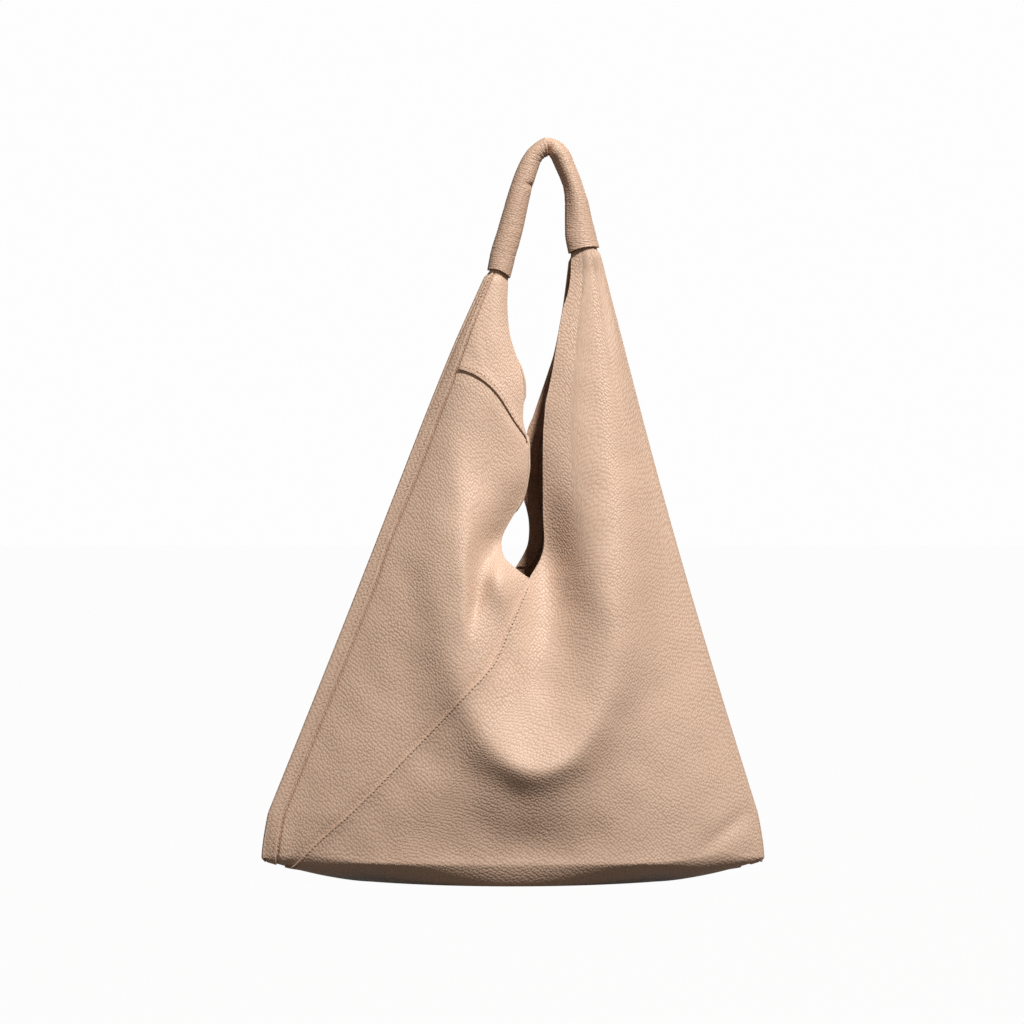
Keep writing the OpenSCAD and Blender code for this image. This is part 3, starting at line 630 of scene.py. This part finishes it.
def thread_material(name, colour, dark):
    m, nodes, links, shader = new_material(name, colour, 0.55)
    at = nodes.new("ShaderNodeUVMap")
    at.uv_map = "grain"
    twist = node_of(nodes, "ShaderNodeTexWave", Scale=420.0, Distortion=1.5, Detail=2.0)
    twist.bands_direction = "DIAGONAL"
    links.new(at.outputs[0], twist.inputs["Vector"])
    add_bump(nodes, links, shader, twist.outputs["Fac"], 0.7, 0.0001)
    # Painted shade: the thread's colour turns to the dark tone in the grooves of its twist.
    shade_in_hollows = colour_mix(nodes, links, twist.outputs["Fac"], dark, colour)
    links.new(shade_in_hollows, shader.inputs["Base Color"])
    return m


# The second colour of each leather is the painted shade in the hollows of its grain.
TAN = leather_material("tan_pebbled_leather", linear(224, 193, 170), linear(196, 159, 134), 0.46)
# Painted shade: the handle's leather is a darker copy of the body's leather, standing in for shade
# on the handle.
SHADED_HANDLE_TAN = leather_material("handle_pebbled_leather", linear(212, 180, 157),
                              linear(178, 142, 118), 0.46, grain=0.0022, depth=0.00026, tilt=82)
# Partly painted light: the inner side's own colour, made lighter so that the inside of the mouth
# looks lit.
SUEDE = leather_material("inner_leather", linear(208, 170, 144), linear(176, 138, 114), 0.8,
                         depth=0.00025, rough_side=True)
EDGE = suede_material("cut_edge", linear(232, 207, 184), linear(204, 172, 146), 0.75, 0.0002)
BOARD = suede_material("base_board_fibre", linear(166, 134, 104), linear(134, 104, 78), 0.85,
                       0.0002)
CORD = suede_material("cord_filler_cotton", linear(206, 192, 168), linear(170, 154, 128), 0.95,
                      0.0004)
THREAD = thread_material("brown_thread", linear(132, 94, 68), linear(84, 56, 38))
FINE_THREAD = thread_material("tan_thread", linear(212, 180, 155), linear(186, 152, 126))


# Outline of the handle seen from the front: the outer and the inner edge of the loop, x and z,
# from the left mouth over the top to the right mouth, then its half depth.
HANDLE_EDGES = np.array([
    (-23.2, 550.5, -2.0, 542.5, 12.1),
    (-19.8, 568.3, 3.2, 562.0, 11.6),
    (-14.9, 583.6, 7.9, 579.1, 11.4),
    (-9.9, 600.7, 12.0, 597.1, 11.2),
    (-5.2, 616.9, 15.3, 613.3, 11.0),
    (-0.5, 631.3, 18.5, 625.9, 10.6),
    (4.1, 643.0, 22.5, 638.5, 10.2),
    (9.5, 653.3, 25.2, 647.0, 9.8),
    (16.7, 662.0, 28.4, 651.1, 9.6),
    (29.3, 669.6, 31.0, 652.0, 9.5),
    (41.4, 666.8, 33.8, 650.6, 9.5),
    (50.4, 657.8, 35.6, 646.6, 9.6),
    (55.8, 645.7, 39.2, 638.5, 9.8),
    (59.9, 635.8, 42.3, 631.3, 10.0),
    (63.5, 625.0, 45.0, 622.3, 10.4),
    (67.5, 613.3, 45.9, 610.6, 10.8),
    (71.1, 597.1, 45.9, 595.3, 11.2),
    (74.7, 582.7, 46.2, 580.0, 11.7),
    (77.8, 570.7, 49.1, 564.9, 12.1),
])
HANDLE_LAST = len(HANDLE_EDGES) - 1
# The handle's kink, the nick on its left arm and the flat on its right arm: the place along it,
# the degrees round it and the depth.
KINK_AT, KINK_TO, KINK_D = 9.05, -58, 6.0
NICK_AT, NICK_TO, NICK_D = 4.95, -29, 1.6
FLAT_FROM, FLAT_END, FLAT_TO, FLAT_D = 9.6, 15.5, -42, 1.7
# Degrees round the handle where its lap starts, and how far it runs under.
LAP_EDGE = 20
LAP_UNDER = 25
# How far the cord stays inside the sleeve.
CORD_CLEAR = 0.7
# How far the leaves keep inside the handle's mouths, and over what height they narrow.
MOUTH_CLEAR = 1.95
MOUTH_CLEAR_Y = 2.0
GATHER_FROM = 7.0
GATHER_OVER = 6.0


def handle_frame(s):
    """Centre, across (towards the loop's inside) and half sizes of the handle at place s."""
    places = list(range(HANDLE_LAST + 1))
    values = [curve(s, list(zip(places, HANDLE_EDGES[:, k]))) for k in range(5)]
    outer = np.stack([values[0], 0 * s, values[1]], -1)
    inner = np.stack([values[2], 0 * s, values[3]], -1)
    centre = (outer + inner) / 2
    half = np.linalg.norm(inner - outer, axis=-1) / 2
    across = unit(inner - outer)
    return centre, across, half, values[4]


def mouth_frame(hand):
    s = np.array([0.0, 1.0]) if hand == LEFT else np.array([HANDLE_LAST, HANDLE_LAST - 1.0])
    centre, across, half, half_y = handle_frame(s)
    axis = unit(centre[1] - centre[0])
    h = across[0] if hand == LEFT else -across[0]
    n = np.array([-h[2], 0, h[0]])
    return centre[0], h, n, axis, half[0], half_y[0]


def gathered(hand, p):
    """Draws the top of a leaf into its mouth of the handle."""
    centre, h, n, axis, half, half_y = mouth_frame(hand)
    rise = (p - centre) @ n
    line = centre + (rise / (axis @ n))[..., None] * axis
    u = (p - line) @ h
    y = p[..., 1]
    r = np.hypot(u / (half - MOUTH_CLEAR), y / (half_y - MOUTH_CLEAR_Y))
    pull = mix(1, (1 + r**8) ** (-1 / 8), smooth((rise + GATHER_FROM) / GATHER_OVER))
    moved = p + ((pull - 1) * u)[..., None] * h
    moved[..., 1] = y * pull
    return moved


def leather_point(face, e, w, lift, side=0):
    """A point of the dressed surface and its normal.

    side keeps the slope on one side of the mouth.
    """
    step_e, step_w = 0.004, 1.0
    if side < 0:
        e = np.where(w >= MOUTH_Z - step_w, np.minimum(e, -1e-6), e)
    low, high = e - step_e, e + step_e
    if side > 0:
        low = np.where(w >= MOUTH_Z - step_w, np.maximum(low, 0), low)
    if side < 0:
        high = np.where(w >= MOUTH_Z - step_w, np.minimum(high, -1e-6), high)
    across = bag_point(face, high, w) - bag_point(face, low, w)
    up = bag_point(face, e, w + step_w) - bag_point(face, e, np.maximum(0, w - step_w))
    normal = unit(np.cross(across, up))
    point = bag_point(face, e, w) + normal * np.asarray(lift)[..., None]
    return point, normal


EDGE_STEPS = np.array([0, 0.6, 1.5, 2.5, 3.5, 5, 7.5, 11, 15.0])
STEP = 2.8


def spread(count, first, last, width):
    """Shares from 0 to 1 across a piece, closer together near its marked edges."""
    width = np.asarray(width, float)[..., None]
    k = np.minimum(1, 0.3 * width / EDGE_STEPS[-1])
    near = EDGE_STEPS * k / width
    start = near if first else np.zeros_like(width)
    end = 1 - near[..., ::-1] if last else np.ones_like(width)
    middle = np.linspace(0, 1, count + 2)[1:-1]
    a, b = start[..., -1:], end[..., :1]
    return np.concatenate([start, a + (b - a) * middle, end], -1)


def heights(low, high, step):
    return np.linspace(low, high, max(2, int(round((high - low) / step)) + 1))


ROWS = np.concatenate([heights(0, 30, 1.5)[:-1], heights(30, MOUTH_Z, STEP)[:-1]])
# Laps: an upper edge is raised and a lower one pressed in, easing off over EASE. Near the mouth
# and at the necks the laps get flatter.
RAISE, PRESS, STRIP_RAISE = 1.1, 1.0, 1.15
EASE, LAP = 14.0, 8.0
GROOVE_AT_STRIP = 1.9
MOUTH_FADE = 20.0
STRIP_FADE_Z, STRIP_FADE = 480.0, 50.0
# How far a leaf and its gathered end go up into the handle, and where that end starts.
NECK_MORE = 8.0
PLUG_MORE = 7.0
PLUG_FOOT_Z = 514.0
TIP_H = 130.0
HEM_W, HEM_TOP_Z = 12.0, 512.0


def leaf_end(hand, x):
    """Height at which a leaf ends inside the handle."""
    centre, h = mouth_frame(hand)[:2]
    return centre[2] + (x - centre[0]) * h[2] / h[0] + NECK_MORE


def face_uv(face, points):
    across = np.concatenate([np.zeros((points.shape[0], 1)),
                             np.cumsum(np.linalg.norm(np.diff(points, axis=1), axis=-1), 1)], 1)
    step = np.hypot(np.diff(points[..., 1], axis=0), np.diff(points[..., 2], axis=0))
    up = np.concatenate([np.zeros((1, points.shape[1])), np.cumsum(step, 0)], 0)
    return np.stack([face * points[:, :1, 0] + across, points[:1, :, 2] + up], -1)


def panel(name, face, e, w, lift, side, hand, *nodes):
    outer, normal = leather_point(face, e, w, lift, side)
    inner = outer - normal * LEATHER_T
    if hand:
        outer, inner = gathered(hand, outer), gathered(hand, inner)
    obj = sheet_mesh(name, outer, inner, [TAN, SUEDE, EDGE], face_uv(face, outer))
    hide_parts(*nodes)
    return obj


def large_panel(name, face, node):
    hand = face
    top = heights(0, 1, STEP / 278)[:, None]
    edge = seam_e(face, ROWS)
    wide = -edge * reach_of(face, -face, ROWS) + reach_of(face, face, ROWS)
    count = 128
    low_share = spread(count, True, False, wide)
    low_e = edge[:, None] + (1 - edge[:, None]) * low_share
    top_w0 = MOUTH_Z + (520 - MOUTH_Z) * top
    top_share = spread(count, True, False, reach_of(face, face, top_w0[:, 0]))
    x_top = mix(LIP[face, hand][-1][1], hand * (neck_x(hand) - 1), top_share)
    top_w = MOUTH_Z + (leaf_end(hand, x_top) - MOUTH_Z) * top
    e = np.concatenate([low_e, top_share])
    w = np.concatenate([ROWS[:, None] + 0 * low_e, top_w])
    behind = np.array([0.2, 0.4, 0.55, 0.7, 0.85, 0.94, 1.0])
    turn = np.concatenate([1 + np.linspace(0, 1, 9)[1:], 2 + behind])
    e = np.concatenate([e, np.broadcast_to(turn, (len(e), len(turn)))], 1)
    w = np.concatenate([w, np.broadcast_to(w[:, -1:], (len(w), len(turn)))], 1)
    from_edge = np.where(w < MOUTH_Z, (e - seam_e(face, w)) * reach_of(face, -face, w), 1e3)
    lift = RAISE * (1 - smooth(from_edge / EASE)) * smooth((MOUTH_Z - w) / MOUTH_FADE)
    flatter = 1 - 0.8 * smooth((w - STRIP_FADE_Z) / STRIP_FADE)
    lift = np.maximum(lift, STRIP_RAISE * smooth((e - 1.2) / 0.8) * flatter)
    return panel(name, face, e, w, lift, 1, hand, node)


def strip_groove(face, hand, e, w):
    """Depth of the dip under and beside the strip."""
    past = (e - strip_edge_e(w)) * reach_of(face, hand, w)
    return GROOVE_AT_STRIP * (1 - smooth((past - 0.3) / 3.4)) + 0.3 * (1 - smooth(past / 9))


def small_panel(name, face, node):
    hand = -face
    rows = np.concatenate([heights(0, 30, 1.5)[:-1], heights(30, 430, STEP)])
    rows = rows / rows[-1]
    count = 90
    width = np.full(len(rows), 200.0)
    share = spread(count, False, True, width)
    w = (tip_seam_z(share) + 6) * rows[:, None]
    left = strip_edge_e(w) - 0.75 * strip_share(w)
    lap = np.clip((MOUTH_Z - w) * 0.8, 0, LAP) / reach_of(face, hand, w)
    right = seam_e(face, w) + lap
    e = left + (right - left) * share
    past = (e - seam_e(face, w)) * reach_of(face, hand, w)
    near_seam = (1 - smooth(-past / EASE)) * smooth((MOUTH_Z - w) / MOUTH_FADE)
    near_tip = 1 - smooth((tip_seam_z(share) - w) / EASE)
    press = -PRESS * np.maximum(near_seam, near_tip)
    press = np.minimum(press, -strip_groove(face, hand, e, w))
    return panel(name, face, e, w, press, -1, 0, node)


def tip(name, face, node):
    hand = -face
    share = spread(40, False, True, np.array([60.0]))[0][None, :]
    rows = np.concatenate([EDGE_STEPS[:7], heights(11, TIP_H, STEP)])[:, None] / TIP_H
    x_top = mix(hand * (neck_x(hand) - 1), LIP[face, hand][-1][1], share)
    start = tip_seam_z(share)
    w = start + (leaf_end(hand, x_top) - start) * rows
    left = strip_edge_e(w) - 0.75 * strip_share(w)
    e = left * (1 - share)
    lift = RAISE * (1 - smooth((w - start) / EASE))
    groove = strip_groove(face, hand, e, w)
    lift = mix(lift, -groove, smooth(groove / PRESS))
    return panel(name, face, e, w, lift, -1, hand, node)


leaves = [
    large_panel("front_right_leather", FRONT, "front_right_panel"),
    large_panel("back_left_leather", BACK, "back_left_panel"),
    tip("front_left_tip_leather", FRONT, "front_left_tip"),
    tip("back_right_tip_leather", BACK, "back_right_tip"),
]
still = [
    small_panel("front_left_leather", FRONT, "front_left_panel"),
    small_panel("back_right_leather", BACK, "back_right_panel"),
]


def hem(name, face, hand, node):
    """The hem strip on the inside of one edge of the mouth."""
    side = face * hand
    rows = heights(MOUTH_Z + 11, HEM_TOP_Z, STEP)[:, None]
    reach = reach_of(face, hand, rows)
    share = np.linspace(0, 1, 7)[None, :]
    near = 1 / reach
    e = side * mix(near, np.minimum(0.75, HEM_W / reach), share)
    if side < 0:
        e = e[:, ::-1]
    w = rows + 0 * e
    point, normal = leather_point(face, e, w, 0 * e, side)
    outer = point - normal * (LEATHER_T + 0.25)
    inner = outer - normal
    obj = sheet_mesh(name, outer, inner, [SUEDE, SUEDE, EDGE], face_uv(face, outer))
    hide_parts(node)
    return obj


still += [
    hem("front_left_hem", FRONT, LEFT, "front_left_facing"),
    hem("front_right_hem", FRONT, RIGHT, "front_right_facing"),
    hem("back_left_hem", BACK, LEFT, "back_left_facing"),
    hem("back_right_hem", BACK, RIGHT, "back_right_facing"),
]


# Stitches
STITCH_INSET = 2.0
STITCH_OUT = 0.12
PITCH, STITCH_L, STITCH_R, STITCH_TILT = 3.7, 2.5, 0.33, math.radians(-24)


def stitches(name, points, normals, node, material=THREAD):
    """A row of short stitches along a path on the leather."""
    steps = np.linalg.norm(np.diff(points, axis=0), axis=1)
    far = np.concatenate([[0], np.cumsum(steps)])
    count = int(far[-1] / PITCH)
    centre = (np.arange(count) + 0.5) * far[-1] / count
    def at(values, s):
        return np.stack([np.interp(s, far, values[:, k]) for k in range(3)], -1)
    middle, up = at(points, centre), unit(at(normals, centre))
    along = unit(at(points, centre + 0.5) - at(points, centre - 0.5))
    side = unit(np.cross(up, along))
    lie = unit(along * math.cos(STITCH_TILT) + side * math.sin(STITCH_TILT))
    side = np.cross(up, lie)
    t = np.array([-1, -0.86, -0.5, 0, 0.5, 0.86, 1.0])
    thick = np.array([0.25, 0.8, 1, 1, 1, 0.8, 0.25]) * STITCH_R
    sink = -0.55 * t**4
    sides = 8
    a = np.arange(sides) * 2 * math.pi / sides
    verts, faces, uv = [], [], []
    for i in range(count):
        base = len(verts)
        for j in range(len(t)):
            c = middle[i] + lie[i] * t[j] * STITCH_L / 2 + up[i] * (sink[j] + STITCH_OUT)
            for k in range(sides):
                verts.append(c + (side[i] * math.cos(a[k]) + up[i] * math.sin(a[k])) * thick[j])
                uv.append((t[j] * STITCH_L / 2, a[k] * STITCH_R))
        for j in range(len(t) - 1):
            for k in range(sides):
                n = (k + 1) % sides
                faces.append((base + j * sides + k, base + (j + 1) * sides + k,
                              base + (j + 1) * sides + n, base + j * sides + n))
        faces.append(tuple(base + k for k in range(sides)))
        last = base + (len(t) - 1) * sides
        faces.append(tuple(last + sides - 1 - k for k in range(sides)))
    obj = add_mesh(name, verts, faces, [material], None, uv, 80)
    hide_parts(node)
    return obj


def inset_e(w):
    return STITCH_INSET * 2 / (fold_reach(LEFT, w) + fold_reach(RIGHT, w))


def seam_row(name, face, e, w, lift, side, node, hand=0, material=THREAD):
    point, normal = leather_point(face, e, w, lift, side)
    if hand:
        point = gathered(hand, point)
    return stitches(name, point, normal, node, material)


def diagonal_row(name, face, node):
    w = np.linspace(8, MOUTH_Z - 8, 200)
    e = seam_e(face, w) + inset_e(w)
    lift = RAISE * (1 - smooth(STITCH_INSET / EASE)) * smooth((MOUTH_Z - w) / MOUTH_FADE)
    return seam_row(name, face, e, w, lift, 1, node)


def side_row(name, face, node):
    hand = -face
    w = np.linspace(22, leaf_end(hand, hand * neck_x(hand)) - NECK_MORE - 4, 400)
    e = strip_edge_e(w) - inset_e(w)
    return seam_row(name, face, e, w, np.full(len(w), STRIP_RAISE), -1, node, hand, FINE_THREAD)


def tip_row(name, face, node):
    s = np.linspace(0.02, 0.97, 200)
    w = tip_seam_z(s) + STITCH_INSET
    e = strip_edge_e(w) * (1 - s)
    return seam_row(name, face, e, w, np.full(len(w), RAISE * 0.9), -1, node, 0, FINE_THREAD)


still += [
    diagonal_row("front_seam_stitches", FRONT, "front_seam_thread"),
    diagonal_row("back_seam_stitches", BACK, "back_seam_thread"),
    tip_row("front_tip_stitches", FRONT, "front_tip_thread"),
    tip_row("back_tip_stitches", BACK, "back_tip_thread"),
]
leaves += [
    side_row("left_side_stitches", FRONT, "left_side_thread"),
    side_row("right_side_stitches", BACK, "right_side_thread"),
]


# Base
def base():
    x = np.linspace(-BASE_HALF_L, BASE_HALF_L, 121)[None, :]
    v = np.linspace(-1, 1, 41)[:, None]
    y = v * np.maximum(SEAM_GAP, base_edge(x))
    sag = 0.25 * (1 + np.cos(x / 17 + v * 2.1) * np.cos(y / 23))
    under = np.stack([x + 0 * v, -y, 0 * y], -1)
    over = np.stack([x + 0 * v, -y, LEATHER_T + 0.4 * sag], -1)
    uv = np.stack([under[..., 0], under[..., 1]], -1)
    obj = sheet_mesh("base_leather", under, over, [TAN, SUEDE, EDGE], uv, flip=True)
    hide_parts("base_panel")
    return obj


def base_row():
    x = np.linspace(-BASE_HALF_L + 14, BASE_HALF_L - 14, 200)
    y = base_edge(x) - 3
    ring = np.concatenate([np.stack([x, -y, 0 * x], -1), np.stack([x, y, 0 * x], -1)[::-1]])
    ring[:, 2] = LEATHER_T + 0.45
    ring = np.concatenate([ring, ring[:1]])
    return stitches("base_stitches", ring, np.tile([0.0, 0.0, 1.0], (len(ring), 1)), "base_thread")


still += [base(), base_row()]


# Handle
def past_angle(th, degrees):
    return (th - math.radians(degrees) + math.pi) % (2 * math.pi) - math.pi


def handle_dents(grid_s, th):
    """The kink near the top, the nick on the left arm and the flat side of the right arm."""
    fade = smooth(1 - (grid_s - KINK_AT) / 1.0)
    toward = np.exp(-((past_angle(th, KINK_TO) / 1.25) ** 2))
    kink = -KINK_D * smooth((grid_s - KINK_AT) / 0.1) * fade * toward
    nick = np.exp(-(((grid_s - NICK_AT) / 0.16) ** 2) - (past_angle(th, NICK_TO) / 0.7) ** 2)
    flat = -FLAT_D * np.exp(-((past_angle(th, FLAT_TO) / 0.6) ** 2))
    flat = flat * smooth((grid_s - FLAT_FROM) / 1.5) * (1 - smooth((grid_s - FLAT_END) / 2))
    return kink - NICK_D * nick + flat


def sleeve():
    rows, cols = 300, 84
    s = np.linspace(0, HANDLE_LAST, rows)
    centre, across, half, half_y = handle_frame(s)
    far = np.concatenate([[0], np.cumsum(np.linalg.norm(np.diff(centre, axis=0), axis=1))])
    angle = np.radians(np.linspace(LAP_EDGE, LAP_EDGE + 360 + LAP_UNDER, cols))
    to_end = LAP_EDGE + 360 + LAP_UNDER - np.degrees(angle)
    th = angle[None, :]
    under = -1.95 * (1 - smooth((to_end - 0.9 * LAP_UNDER) / 50))[None, :]
    grid_s, arc = s[:, None], far[:, None]
    before_kink = (grid_s - KINK_AT + 0.1) / 0.16
    crest = 0.9 * np.exp(-(before_kink**2) - (past_angle(th, KINK_TO) / 1.1) ** 2)
    wrinkle = np.zeros((rows, cols))
    # Slanting wrinkles at random places.
    rng = np.random.default_rng(11)
    for _ in range(46):
        at, spin = rng.uniform(4, far[-1] - 4), rng.uniform(-math.pi, math.pi)
        long, wide, deep = rng.uniform(0.5, 1.3), rng.uniform(1.2, 3.0), rng.uniform(0.8, 1.5)
        off = (th - spin + math.pi) % (2 * math.pi) - math.pi
        along_it = (arc - at - rng.uniform(-2.2, 2.2) * off) / wide
        wrinkle -= 0.16 * long * deep * np.exp(-(along_it**2) - (off / long) ** 2)
    fine = 0.10 * np.sin(arc * 2 * math.pi / 2.9 + 1.3 * np.sin(th * 2) + 2 * np.sin(arc / 17))
    fine = fine * (0.5 + 0.5 * np.sin(th * 3 + arc / 9))
    near_top = np.exp(-(((grid_s - 8.6) / 1.6) ** 2)) * np.clip(np.cos(th), 0, 1)
    bunch = 0.35 * np.sin(arc * 2 * math.pi / 5.2) * near_top
    out = under + crest + wrinkle + fine + bunch + handle_dents(grid_s, th)
    grids = []
    for depth in (0, LEATHER_T):
        rx = half[:, None] + out - depth
        ry = half_y[:, None] + out - depth
        p = centre[:, None] + across[:, None] * (rx * np.cos(th))[..., None]
        p = p + np.array([0, 1.0, 0]) * (ry * np.sin(th))[..., None]
        # Front and back of the two mouths arch away from the leaves.
        for hand, arch in ((LEFT, 3.0), (RIGHT, 2.2)):
            axis = mouth_frame(hand)[3]
            gone = far if hand == LEFT else far[-1] - far
            near = np.clip(1 - gone / 24, 0, 1)[:, None] ** 2
            shift = near * arch * np.abs(np.sin(th)) ** 1.5
            p = p + shift[..., None] * axis
        grids.append(p)
    r = (half.mean() + half_y.mean()) / 2
    uv = np.stack([th * r + 0 * arc, arc + 0 * th], -1)
    obj = sheet_mesh("handle_leather", grids[0], grids[1], [SHADED_HANDLE_TAN, SUEDE, EDGE], uv, flip=True)
    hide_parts("handle_sleeve")
    lap = np.radians(LAP_EDGE + 12)
    keep = (s > 0.25) & (s < HANDLE_LAST - 0.25)
    column = int(np.argmin(np.abs(angle - lap)))
    path = grids[0][keep, column]
    normal = unit(path - centre[keep])
    row = stitches("handle_stitches", path, normal, "handle_thread", FINE_THREAD)
    return [obj, row]


def cord():
    """The filler inside the handle, dented where the sleeve is."""
    rows, cols = 190, 40
    s = np.linspace(2, HANDLE_LAST - 2, rows)
    centre, across, half, half_y = handle_frame(s)
    th = (np.arange(cols) * 2 * math.pi / cols)[None, :]
    out = handle_dents(s[:, None], th) - LEATHER_T - CORD_CLEAR
    p = centre[:, None] + across[:, None] * ((half[:, None] + out) * np.cos(th))[..., None]
    p = p + np.array([0, 1.0, 0]) * ((half_y[:, None] + out) * np.sin(th))[..., None]
    index = np.arange(rows * cols).reshape(rows, cols)
    turn = np.roll(index, -1, 1)
    quads = np.stack([index[:-1], index[1:], turn[1:], turn[:-1]], -1).reshape(-1, 4)
    ends = [index[0].tolist(), index[-1][::-1].tolist()]
    obj = add_mesh("handle_cord", p.reshape(-1, 3), quads.tolist() + ends, [CORD])
    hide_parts("handle_core")
    return obj


def plug(name, hand, node):
    """The gathered end of a leaf, pleated, from inside the arm up into the handle."""
    centre = mouth_frame(hand)[0]
    rows, cols = 26, 64
    verts, uv = [], []
    t = np.arange(cols) / cols
    for i in range(rows):
        s = i / (rows - 1)
        w = PLUG_FOOT_Z + (centre[2] + PLUG_MORE - PLUG_FOOT_Z) * s
        half_cols = cols // 2
        e = 0.10 + 0.84 * np.linspace(0, 1, half_cols)
        depth = LEATHER_T + 0.9
        level, lower = np.full(half_cols, w), np.full(half_cols, -depth)
        front = leather_point(FRONT, hand * e, level, lower, hand)[0]
        back = leather_point(BACK, -hand * e, level, lower, -hand)[0]
        ring = np.concatenate([front, back[::-1]])
        ring = gathered(hand, ring)
        middle = ring.mean(0)
        pleat = 1 - 0.10 * (0.5 + 0.5 * np.cos(t * 2 * math.pi * 9 + 2 * s)) * smooth(s / 0.3)
        pleat = pleat * (0.9 + 0.06 * np.cos(s * 9))
        ring = middle + (ring - middle) * pleat[:, None]
        verts.append(ring)
        uv.append(np.stack([t * 60, np.full(cols, w)], -1))
    grid = np.stack(verts)
    index = np.arange(rows * cols).reshape(rows, cols)
    turn = np.roll(index, -1, 1)
    quads = np.stack([index[:-1], turn[:-1], turn[1:], index[1:]], -1).reshape(-1, 4)
    if hand == LEFT:
        quads = quads[:, ::-1]
    ends = [index[0].tolist(), index[-1].tolist()]
    ends[0 if hand == RIGHT else 1].reverse()
    faces = quads.tolist() + ends
    obj = add_mesh(name, grid.reshape(-1, 3), faces, [SUEDE], None, np.concatenate(uv), 60)
    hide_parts(node)
    return obj


handle_pieces = sleeve() + [cord()]
necks = [plug("left_neck_gather", LEFT, "left_tongue"),
         plug("right_neck_gather", RIGHT, "right_tongue")]

# The base board keeps its own shape.
board = bpy.data.objects["base_board"].data
board.materials.clear()
board.materials.append(BOARD)

# The leaves, the necks and the handle's pieces keep their placing baked into their meshes; the
# other pieces go with the bag.
for obj in leaves + necks + handle_pieces:
    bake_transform(obj)
for obj in still:
    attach(obj, "bag")

# Floor, background, light and camera: how much of the plain white the floor shows to the camera
# and to gloss, and the strengths of that white.
GLOSS_SHARE = 0.3
FLOOR_SHARE, FLOOR_WHITE, SKY_WHITE = 0.93, 1.045, 0.985
scene = bpy.context.scene
scene.view_settings.view_transform = "Standard"


def white_to_camera(nodes, links, shader_out):
    """Camera rays and rays through glass see mostly plain white, rays off gloss a share of it."""
    path = nodes.new("ShaderNodeLightPath")
    gloss = math_node(nodes, links, "MULTIPLY", path.outputs["Is Glossy Ray"], GLOSS_SHARE)
    seen = math_node(nodes, links, "MAXIMUM", path.outputs["Is Camera Ray"], gloss)
    seen = math_node(nodes, links, "MAXIMUM", seen, path.outputs["Is Transmission Ray"])
    glow = node_of(nodes, "ShaderNodeEmission", Color=(1, 1, 1, 1), Strength=FLOOR_WHITE)
    both = nodes.new("ShaderNodeMixShader")
    links.new(math_node(nodes, links, "MULTIPLY", seen, FLOOR_SHARE), both.inputs[0])
    links.new(shader_out, both.inputs[1])
    links.new(glow.outputs[0], both.inputs[2])
    return both.outputs[0]


floor_mesh = bpy.data.meshes.new("floor")
F = 30.0
floor_mesh.from_pydata([(-F, -F, 0), (F, -F, 0), (F, F, 0), (-F, F, 0)], [], [(0, 1, 2, 3)])
floor = bpy.data.objects.new("floor", floor_mesh)
floor.location.z = -0.0002
scene.collection.objects.link(floor)
floor_material = bpy.data.materials.new("pale_floor")
floor_material.use_nodes = True
tree = floor_material.node_tree
tree.nodes.clear()
plain = node_of(tree.nodes, "ShaderNodeBsdfDiffuse", Color=(0.08, 0.066, 0.055, 1))
out = tree.nodes.new("ShaderNodeOutputMaterial")
seen_white = white_to_camera(tree.nodes, tree.links, plain.outputs[0])
tree.links.new(seen_white, out.inputs["Surface"])
floor_mesh.materials.append(floor_material)

world = bpy.data.worlds.new("soft_light")
scene.world = world
world.use_nodes = True
tree = world.node_tree
tree.nodes.clear()
sky = node_of(tree.nodes, "ShaderNodeBackground", Color=(1.0, 0.92, 0.84, 1), Strength=0.15)
clear = node_of(tree.nodes, "ShaderNodeBackground", Color=(1, 1, 1, 1), Strength=SKY_WHITE)
path = tree.nodes.new("ShaderNodeLightPath")
seen = math_node(tree.nodes, tree.links, "MAXIMUM", path.outputs["Is Camera Ray"],
                 path.outputs["Is Transmission Ray"])
both = tree.nodes.new("ShaderNodeMixShader")
tree.links.new(seen, both.inputs[0])
tree.links.new(sky.outputs[0], both.inputs[1])
tree.links.new(clear.outputs[0], both.inputs[2])
out = tree.nodes.new("ShaderNodeOutputWorld")
tree.links.new(both.outputs[0], out.inputs["Surface"])


def area_light(name, place, aim, size, power, colour=(1, 1, 1)):
    light = bpy.data.lights.new(name, "AREA")
    light.shape = "DISK"
    light.size = size
    light.energy = power
    light.color = colour
    obj = bpy.data.objects.new(name, light)
    scene.collection.objects.link(obj)
    obj.location = place
    away = np.array(place, float) - np.array(aim, float)
    yaw = math.atan2(away[0], -away[1])
    pitch = math.atan2(math.hypot(away[0], away[1]), away[2])
    obj.rotation_euler = (pitch, 0, yaw)


area_light("key", (0.98, -1.98, 2.96), (0, 0, 0.28), 0.4, 158, (1.0, 0.99, 0.975))
area_light("fill", (-1.7, -1.9, 2.5), (0, 0, 0.3), 1.6, 5)
area_light("back", (0.6, 2.4, 1.6), (0, 0, 0.3), 1.6, 26)

# From 3 m away, with 0.9 mm to a pixel in the plane of the bag.
camera_data = bpy.data.cameras.new("camera")
camera_data.lens = 117.19
camera_data.sensor_width = 36
camera = bpy.data.objects.new("camera", camera_data)
camera.location = (-0.0009, -3.0, 0.3325)
camera.rotation_euler = (math.pi / 2, 0, 0)
scene.collection.objects.link(camera)
scene.camera = camera
